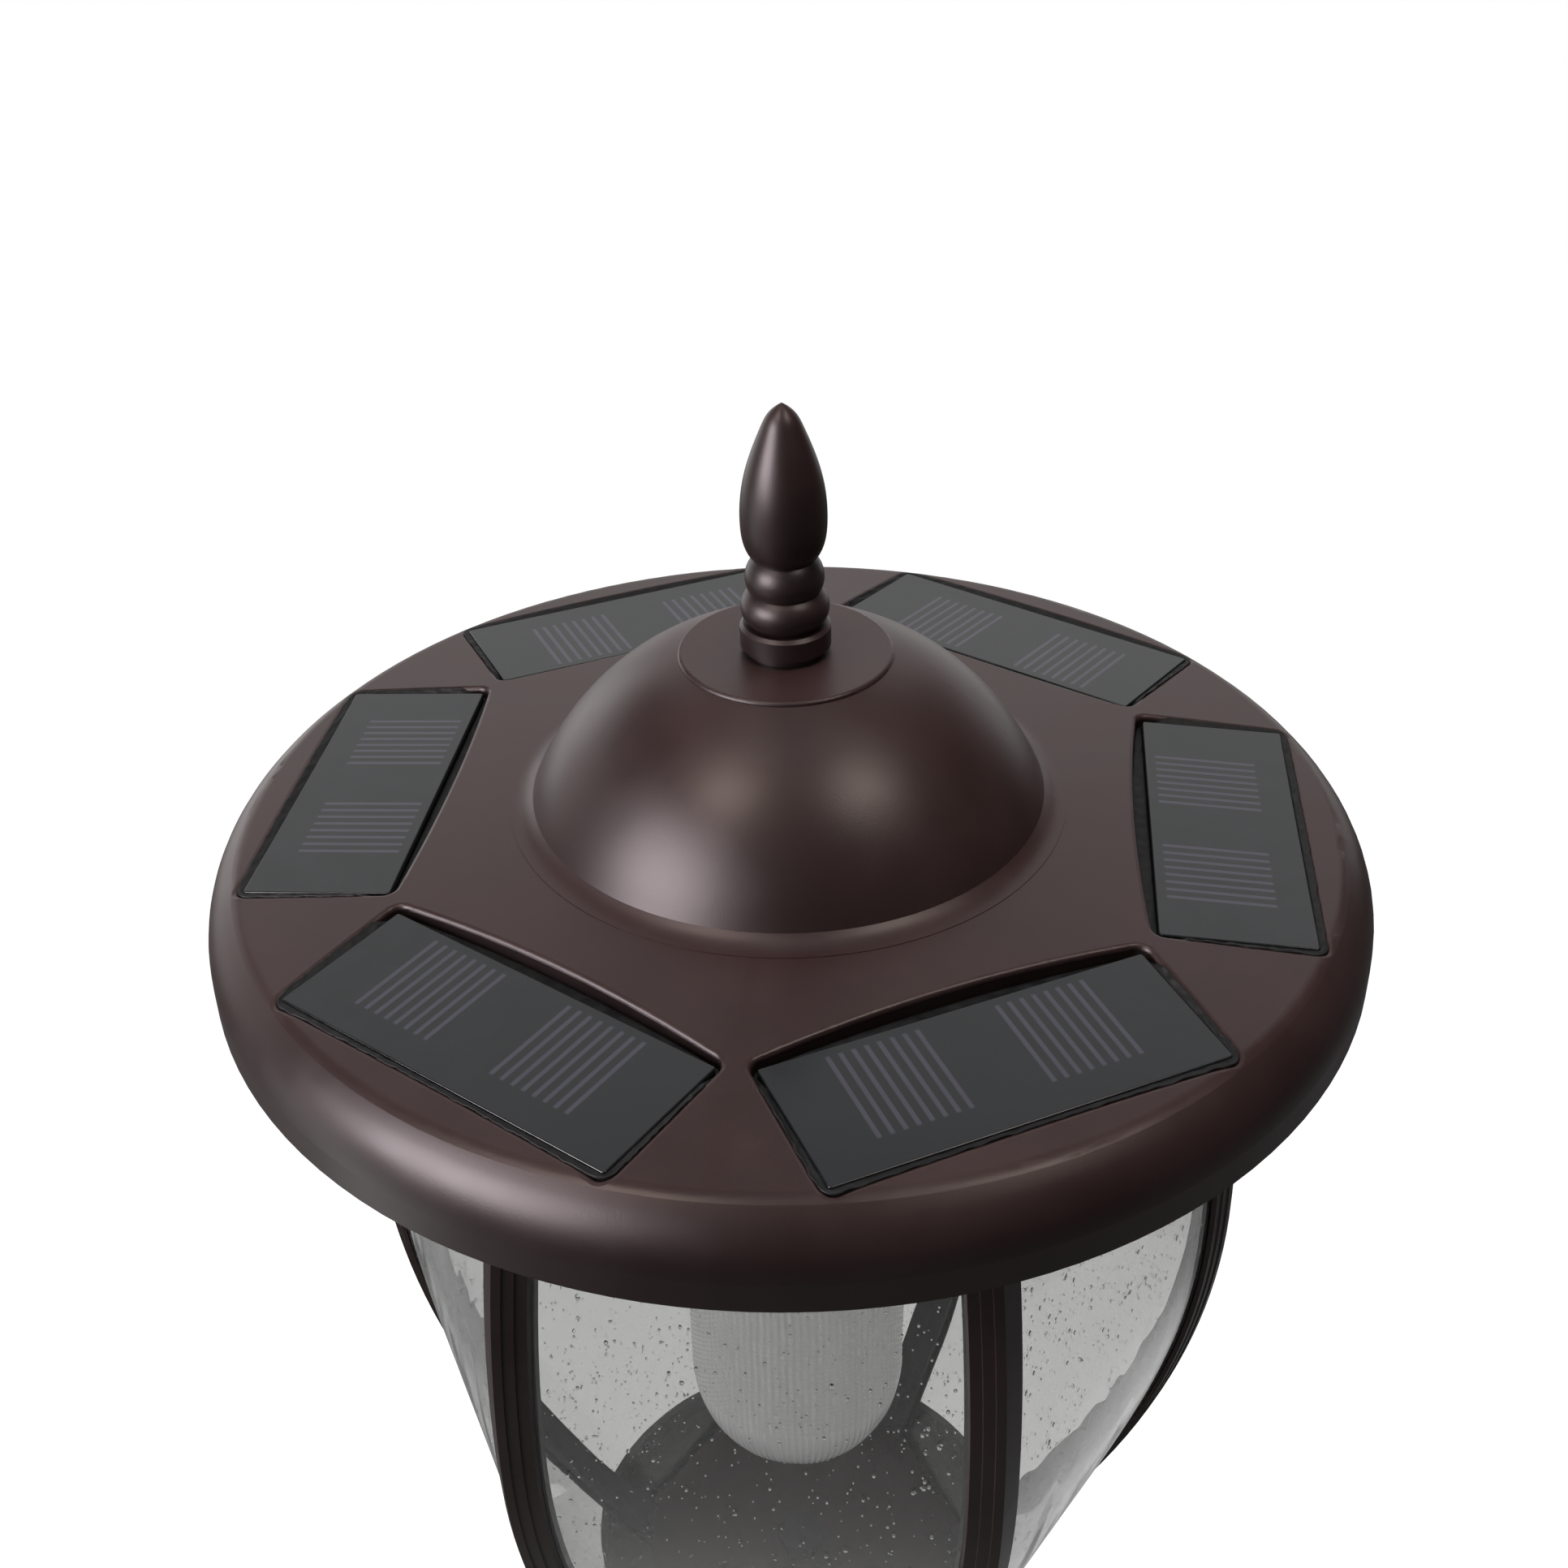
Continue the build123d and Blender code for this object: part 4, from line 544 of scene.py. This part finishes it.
def pane_sheet(sizes, seed):
    """One pane as a closed sheet: both faces on a grid of width and height, with a slow ripple inwards."""
    columns = PANE_COLUMNS
    side, level = np.meshgrid(np.linspace(-1, 1, columns), np.linspace(PANE_BOTTOM, PANE_TOP, PANE_ROWS))
    wave = waves(side * PANE_RIPPLE_REACH, level * PANE_RIPPLE_STRETCH, seed,
                 terms=12, low=12 * MM, high=45 * MM)
    ripple = np.clip(0.5 * sizes.pane_ripple * (1 + wave), 0, 2 * sizes.pane_ripple)
    outer = pane_point(side, level, ripple)
    inner = pane_point(side, level, PANE_THICKNESS - ripple[:, ::-1])
    rings = np.concatenate((outer, inner[:, ::-1]), axis=1)
    quads = grid_quads(PANE_ROWS, 2 * columns, True)
    step = np.arange(columns - 1)
    end = np.stack((step, step + 1, 2 * columns - 2 - step, 2 * columns - 1 - step), axis=-1)
    ends = np.concatenate((end, end + (PANE_ROWS - 1) * 2 * columns))
    return rings.reshape(-1, 3), [quads, ends]


def seed_bubbles(sizes, seed):
    """The bubbles of one pane: small long spheroids in the glass, each of three rings and two poles."""
    random = np.random.default_rng(seed)
    total = sizes.seed_count
    level = random.uniform(PANE_BOTTOM + SEED_FOOT_MARGIN, PANE_TOP - SEED_HEAD_MARGIN, total)
    side = random.uniform(-SEED_SPAN, SEED_SPAN, total)
    radius = np.clip(sizes.seed_radius * random.lognormal(0.0, 0.38, total), SEED_LEAST, SEED_MOST)
    centre = pane_point(side, level, PANE_THICKNESS / 2)
    reach = radius * random.uniform(1.0, 1.7, total)
    latitude = radians(45) * np.array((1, 0, -1))[:, None]
    around = np.arange(SEED_SIDES)
    turn = around * 2 * pi / SEED_SIDES
    rings = np.stack((np.cos(latitude) * np.cos(turn), np.cos(latitude) * np.sin(turn),
                      np.sin(latitude) + 0 * turn), axis=-1)
    ball = np.vstack(((0, 0, 1), rings.reshape(-1, 3), (0, 0, -1)))
    size = np.stack((radius, radius, reach), axis=-1)
    points = centre[:, None, :] + ball[None] * size[:, None, :]
    following = (around + 1) % SEED_SIDES
    pole = len(ball) - 1
    low = pole - SEED_SIDES
    cap_top = np.stack((0 * around, around + 1, following + 1), axis=-1)
    cap_low = np.stack((0 * around + pole, following + low, around + low), axis=-1)
    belts = grid_quads(len(latitude), SEED_SIDES, True) + 1
    shift = np.arange(total)[:, None, None] * len(ball)
    triangles = (np.concatenate((cap_top, cap_low))[None] + shift).reshape(-1, 3)
    return points.reshape(-1, 3), [(belts[None] + shift).reshape(-1, 4), triangles]


def jar_surface(sizes):
    """The diffuser: a jar's section turned about the axis, its outer wall cut by flutes and ripples.

    The radius falls by the flute depth with the cosine of the flutes' angle, and by the ripple depth
    with the sine of the height, and both fade at the flange and at the round end. The flutes sway a little
    with the height, and the ripples with the angle.
    """
    columns = COLUMNS_PER_FLUTE * sizes.flute_count
    centre = JAR_BOTTOM + JAR_RADIUS
    inner = JAR_RADIUS - JAR_WALL
    bend = np.linspace(radians(3), radians(90), JAR_BEND_ROWS)
    inner_end, outer_end = (np.column_stack((size * np.sin(bend), centre - size * np.cos(bend)))
                            for size in (inner, JAR_RADIUS))
    rise = np.linspace(centre, JAR_TOP, JAR_RISE_ROWS)[1:]
    inside = np.concatenate((inner_end, np.column_stack((np.full(len(rise), inner), rise))))
    flange = np.array(((JAR_FLANGE - JAR_EASE, JAR_TOP), (JAR_FLANGE, JAR_TOP - JAR_EASE),
                       (JAR_FLANGE, JAR_FLANGE_BOTTOM + JAR_EASE), (JAR_FLANGE - JAR_EASE, JAR_FLANGE_BOTTOM),
                       (JAR_RADIUS, JAR_FLANGE_BOTTOM)))
    wall_rows = int((JAR_FLANGE_BOTTOM - centre) / sizes.ripple_pitch * ROWS_PER_RIPPLE)
    fall = np.linspace(JAR_FLANGE_BOTTOM - 0.5 * MM, centre, wall_rows)
    wall = np.column_stack((np.full(wall_rows, JAR_RADIUS), fall))
    section = np.concatenate((inside, flange, wall, outer_end[::-1][1:]))
    turn = np.arange(columns) * 2 * pi / columns
    radius, height = section[:, 0][:, None], section[:, 1][:, None]
    is_outside = np.arange(len(section))[:, None] >= len(inside) + len(flange)
    below_flange = np.clip((JAR_FLANGE_BOTTOM - height) / JAR_FADE, 0, 1)
    fade = is_outside * below_flange * np.clip(radius / JAR_RADIUS, 0, 1)**2
    flute_sway = FLUTE_SWAY * np.sin(2 * pi * height / FLUTE_SWAY_PITCH + FLUTE_SWAY_TURNS * turn)
    flutes = 0.5 - 0.5 * np.cos(sizes.flute_count * turn + flute_sway)
    ripple_sway = RIPPLE_SWAY * np.sin(RIPPLE_SWAY_TURNS * turn)
    ripples = 0.5 + 0.5 * np.sin(2 * pi * height / sizes.ripple_pitch + ripple_sway)
    cut = fade * (sizes.flute_depth * flutes + sizes.ripple_depth * ripples)
    reach = radius - cut
    rings = np.stack((reach * np.cos(turn), reach * np.sin(turn), height + 0 * turn), axis=-1)
    poles = np.array(((0, 0, JAR_BOTTOM + JAR_WALL), (0, 0, JAR_BOTTOM)))
    points = np.concatenate((rings.reshape(-1, 3), poles))
    first = np.arange(columns)
    last = first + (len(section) - 1) * columns
    fans = np.concatenate((np.stack((np.full(columns, len(points) - 2), first, np.roll(first, -1)), axis=-1),
                           np.stack((np.full(columns, len(points) - 1), np.roll(last, -1), last), axis=-1)))
    return points, [grid_quads(len(section), columns, True), fans]


class LAMP_OT_solar_panels(bpy.types.Operator):
    """Make the six glass-faced panels in the roof's pockets"""
    bl_idname = "lamp.solar_panels"
    bl_label = "Solar panels"

    def execute(self, context):
        material = panel_material(context.scene.lamp_colours)
        points, faces, uv = panel_slab(context.scene.lamp_sizes)
        for number in range(1, SIDES + 1):
            placed = on_roof(points, (number - 2) * SIDE_TURN)
            new_piece(f"panel_glass_{number}", placed, faces, material, "roof",
                      [f"solar_panel_{number}"], flat=(1,), uv=uv)
        return {"FINISHED"}


class LAMP_OT_panel_sealant(bpy.types.Operator):
    """Run the ragged black sealant round every panel"""
    bl_idname = "lamp.panel_sealant"
    bl_label = "Panel sealant"

    def execute(self, context):
        rings = [sealant_ring(context.scene.lamp_sizes, number) for number in range(SIDES)]
        points = np.concatenate([on_roof(ring[0], number * SIDE_TURN) for number, ring in enumerate(rings)])
        quads = np.concatenate([ring[1] + number * len(ring[0]) for number, ring in enumerate(rings)])
        material = sealant_material(context.scene.lamp_colours.sealant)
        new_piece("panel_sealant", points, [quads], material, "roof", ["panel_seals"])
        return {"FINISHED"}


class LAMP_OT_glass_panes(bpy.types.Operator):
    """Make the six curved panes"""
    bl_idname = "lamp.glass_panes"
    bl_label = "Glass panes"

    def execute(self, context):
        # The pane tint darkens the glass as painted shade for the dimmer surroundings seen through it
        material = glass_material("seeded_glass_pane", context.scene.lamp_colours.pane, ior=1.45,
                                  ripple_scale=40.0, ripple_depth=0.07 * MM, roughness=0.0)
        for number in range(1, SIDES + 1):
            points, faces = pane_sheet(context.scene.lamp_sizes, PANE_SEED + number)
            placed = turned(points, (number - 2.5) * SIDE_TURN)
            new_piece(f"pane_{number}", placed, faces, material, "lantern",
                      [f"glass_pane_{number}"], flat=(1,))
        return {"FINISHED"}


class LAMP_OT_glass_seeds(bpy.types.Operator):
    """Scatter the bubbles in the panes"""
    bl_idname = "lamp.glass_seeds"
    bl_label = "Glass seeds"

    def execute(self, context):
        material = glass_material("seed_bubble", (1.0, 1.0, 1.0), ior=1.3, ripple_scale=300.0,
                                  ripple_depth=0.01 * MM, roughness=0.0)
        for number in range(1, SIDES + 1):
            points, faces = seed_bubbles(context.scene.lamp_sizes, BUBBLE_SEED + number)
            placed = turned(points, (number - 2.5) * SIDE_TURN)
            new_piece(f"pane_seeds_{number}", placed, faces, material, "lantern", [])
        return {"FINISHED"}


class LAMP_OT_diffuser(bpy.types.Operator):
    """Make the fluted diffuser"""
    bl_idname = "lamp.diffuser"
    bl_label = "Diffuser"

    def execute(self, context):
        material = glass_material("fluted_clear_jar", context.scene.lamp_colours.jar, ior=1.46,
                                  ripple_scale=220.0, ripple_depth=0.05 * MM, roughness=0.05, clear=0.12)
        points, faces = jar_surface(context.scene.lamp_sizes)
        new_piece("fluted_diffuser", points, faces, material, "roof", ["diffuser"])
        return {"FINISHED"}


class LAMP_OT_frame_finishes(bpy.types.Operator):
    """Give every node of the frame its finish"""
    bl_idname = "lamp.frame_finishes"
    bl_label = "Frame finishes"

    def execute(self, context):
        finishes = frame_materials(context.scene.lamp_colours)
        for part in frame["record"]["subparts"]:
            slot = "black_steel" if part["node"] == "cup_bolt" else part["material_slot"]
            if slot in finishes:
                materials = frame["nodes"][part["node"]].data.materials
                materials.clear()
                materials.append(finishes[slot])
        return {"FINISHED"}


def area_light(name, azimuth, elevation, distance, width, height, power, tint=(1.0, 1.0, 1.0), fill=True,
               card=True, centre=ROOF_CENTRE):
    """A soft box that looks at a centre from an azimuth (0 in front, to the right) and an elevation.

    As a fill it lights the surfaces, as a card it shows in their gloss.
    """
    lamp = bpy.data.lights.new(name, "AREA")
    lamp.shape = "RECTANGLE"
    lamp.size, lamp.size_y, lamp.energy, lamp.color = width, height, power, tint
    light = bpy.data.objects.new(name, lamp)
    light.visible_camera = light.visible_transmission = False
    light.visible_diffuse, light.visible_glossy = fill, card
    bpy.context.scene.collection.objects.link(light)
    turn, lift = radians(azimuth), radians(elevation)
    away = np.array((cos(lift) * sin(turn), -cos(lift) * cos(turn), sin(lift)))
    right = np.array((cos(turn), sin(turn), 0.0))
    up = np.cross(away, right)
    placed = Matrix.Identity(4)
    for column, axis in enumerate((right, up, away, np.array(centre) + distance * away)):
        for row in range(3):
            placed[row][column] = axis[row]
    light.matrix_world = placed


def floor_material(tone):
    """A pale floor that glows white to the camera and through glass; near the foot of the part, ambient
    occlusion dims the glow as a painted contact shadow.
    """
    material, tree, inputs = new_material("floor")
    inputs["Base Color"].default_value = opaque(tone)
    inputs["Roughness"].default_value = FLOOR_ROUGHNESS
    path = tree.nodes.new("ShaderNodeLightPath").outputs
    seen = calculate(tree, "MAXIMUM", calculate(tree, "MULTIPLY", path["Is Glossy Ray"], FLOOR_IN_GLOSS),
                     calculate(tree, "MAXIMUM", path["Is Camera Ray"], path["Is Transmission Ray"]))
    # Painted shadow: ambient occlusion darkens the floor's glow near the part
    painted_contact_shadow = add_node(tree, "ShaderNodeAmbientOcclusion", {"Distance": PAINTED_SHADOW_REACH},
                       samples=PAINTED_SHADOW_SAMPLES).outputs["AO"]
    glow = calculate(tree, "MULTIPLY", calculate(tree, "MULTIPLY", seen, painted_contact_shadow), FLOOR_WHITE)
    white = add_node(tree, "ShaderNodeEmission", {"Color": (1, 1, 1, 1), "Strength": glow})
    shader = next(node for node in tree.nodes if node.type == "BSDF_PRINCIPLED")
    result = next(node for node in tree.nodes if node.type == "OUTPUT_MATERIAL")
    both = add_node(tree, "ShaderNodeAddShader", {0: shader.outputs[0], 1: white.outputs[0]})
    tree.links.new(both.outputs[0], result.inputs[0])
    return material


def lay_floor(tone):
    """A large square on the ground."""
    mesh = bpy.data.meshes.new("floor")
    corners = ((-FLOOR_HALF, -FLOOR_HALF, 0), (FLOOR_HALF, -FLOOR_HALF, 0),
               (FLOOR_HALF, FLOOR_HALF, 0), (-FLOOR_HALF, FLOOR_HALF, 0))
    mesh.from_pydata(corners, [], [(0, 1, 2, 3)])
    mesh.materials.append(floor_material(tone))
    floor = bpy.data.objects.new("floor", mesh)
    bpy.context.scene.collection.objects.link(floor)


def studio_world():
    """A world that is white to the camera and through glass, and only a faint light otherwise."""
    world = bpy.data.worlds.new("studio")
    world.use_nodes = True
    tree = world.node_tree
    background = next(node for node in tree.nodes if node.type == "BACKGROUND")
    path = tree.nodes.new("ShaderNodeLightPath").outputs
    seen = calculate(tree, "MAXIMUM", path["Is Camera Ray"], path["Is Transmission Ray"])
    background.inputs[0].default_value = (1.0, 1.0, 1.0, 1.0)
    link_or_set(tree, background.inputs[1], spread(tree, seen, 0.0, 1.0, WORLD_LIGHT, 1.0))
    return world


def studio_lights():
    """Soft boxes round the roof and the post, most of them either a fill or a card."""
    area_light("overhead", 0, 90, 2.0, 1.2, 1.2, 33.0, card=False)
    area_light("left_fill", -72, 10, 1.6, 0.8, 0.8, 9.0, card=False)
    area_light("left_card", -49, 17, 1.6, 1.0, 0.88, 53.0, (1.0, 0.92, 0.97), fill=False)
    area_light("left_back_card", -124, 2, 1.6, 1.2, 1.1, 4.4, fill=False)
    area_light("ceiling_left", -44, 59, 1.8, 0.5, 0.5, 11.0, (1.0, 0.86, 0.76), fill=False)
    area_light("ceiling_right", 66, 56, 1.8, 0.5, 0.5, 10.5, (1.0, 0.88, 0.8), fill=False)
    area_light("back_sheet", 186, 36, 2.5, 3.2, 1.6, 15.0)
    area_light("back_card", 188, 0, 2.5, 5.5, 1.5, 20.0, fill=False)
    area_light("post_left", -75, 0, 1.7, 0.8, 1.6, 6.0, centre=POST_CENTRE)
    area_light("post_back", 145, 0, 1.7, 0.8, 1.6, 8.0, card=False, centre=POST_CENTRE)


def studio_camera():
    """The camera at its spot, turned about x, y and z in that order."""
    camera = bpy.data.cameras.new("camera")
    camera.lens, camera.sensor_width = CAMERA_LENS, CAMERA_SENSOR
    camera.clip_start, camera.clip_end = 0.01, 100.0
    viewer = bpy.data.objects.new("camera", camera)
    bpy.context.scene.collection.objects.link(viewer)
    turn = Euler([radians(angle) for angle in CAMERA_TURN])
    viewer.matrix_world = Matrix.LocRotScale(Vector(CAMERA_SPOT), turn, None)
    return viewer


class LAMP_OT_stage(bpy.types.Operator):
    """Set up the floor, the lights, the world and the camera"""
    bl_idname = "lamp.stage"
    bl_label = "Studio"

    def execute(self, context):
        scene = context.scene
        lay_floor(scene.lamp_colours.floor)
        scene.world = studio_world()
        studio_lights()
        scene.camera = studio_camera()
        scene.view_settings.view_transform = "Standard"
        return {"FINISHED"}


class LAMP_PT_sidebar(bpy.types.Panel):
    """Lists the lamp's pieces, sizes and colours"""
    bl_idname = "LAMP_PT_sidebar"
    bl_label = "Lamp post"
    bl_space_type = "VIEW_3D"
    bl_region_type = "UI"
    bl_category = "Lamp post"

    def draw(self, context):
        for operator in OPERATORS:
            self.layout.operator(operator.bl_idname)
        for group in (context.scene.lamp_sizes, context.scene.lamp_colours):
            for key in group.__annotations__:
                self.layout.prop(group, key)


OPERATORS = (LAMP_OT_solar_panels, LAMP_OT_panel_sealant, LAMP_OT_glass_panes, LAMP_OT_glass_seeds,
             LAMP_OT_diffuser, LAMP_OT_frame_finishes, LAMP_OT_stage)
CLASSES = (LampSizes, LampColours, *OPERATORS, LAMP_PT_sidebar)


def register():
    """Register the classes and hang the properties on the scene."""
    for each in CLASSES:
        bpy.utils.register_class(each)
    bpy.types.Scene.lamp_sizes = bpy.props.PointerProperty(type=LampSizes)
    bpy.types.Scene.lamp_colours = bpy.props.PointerProperty(type=LampColours)


def unregister():
    """Take the properties off the scene and unregister the classes."""
    del bpy.types.Scene.lamp_colours
    del bpy.types.Scene.lamp_sizes
    for each in reversed(CLASSES):
        bpy.utils.unregister_class(each)


def main():
    """Build every piece in order."""
    register()
    bpy.ops.lamp.stage()
    bpy.ops.lamp.solar_panels()
    bpy.ops.lamp.panel_sealant()
    bpy.ops.lamp.glass_panes()
    bpy.ops.lamp.glass_seeds()
    bpy.ops.lamp.diffuser()
    bpy.ops.lamp.frame_finishes()


if __name__ == "__main__":
    main()
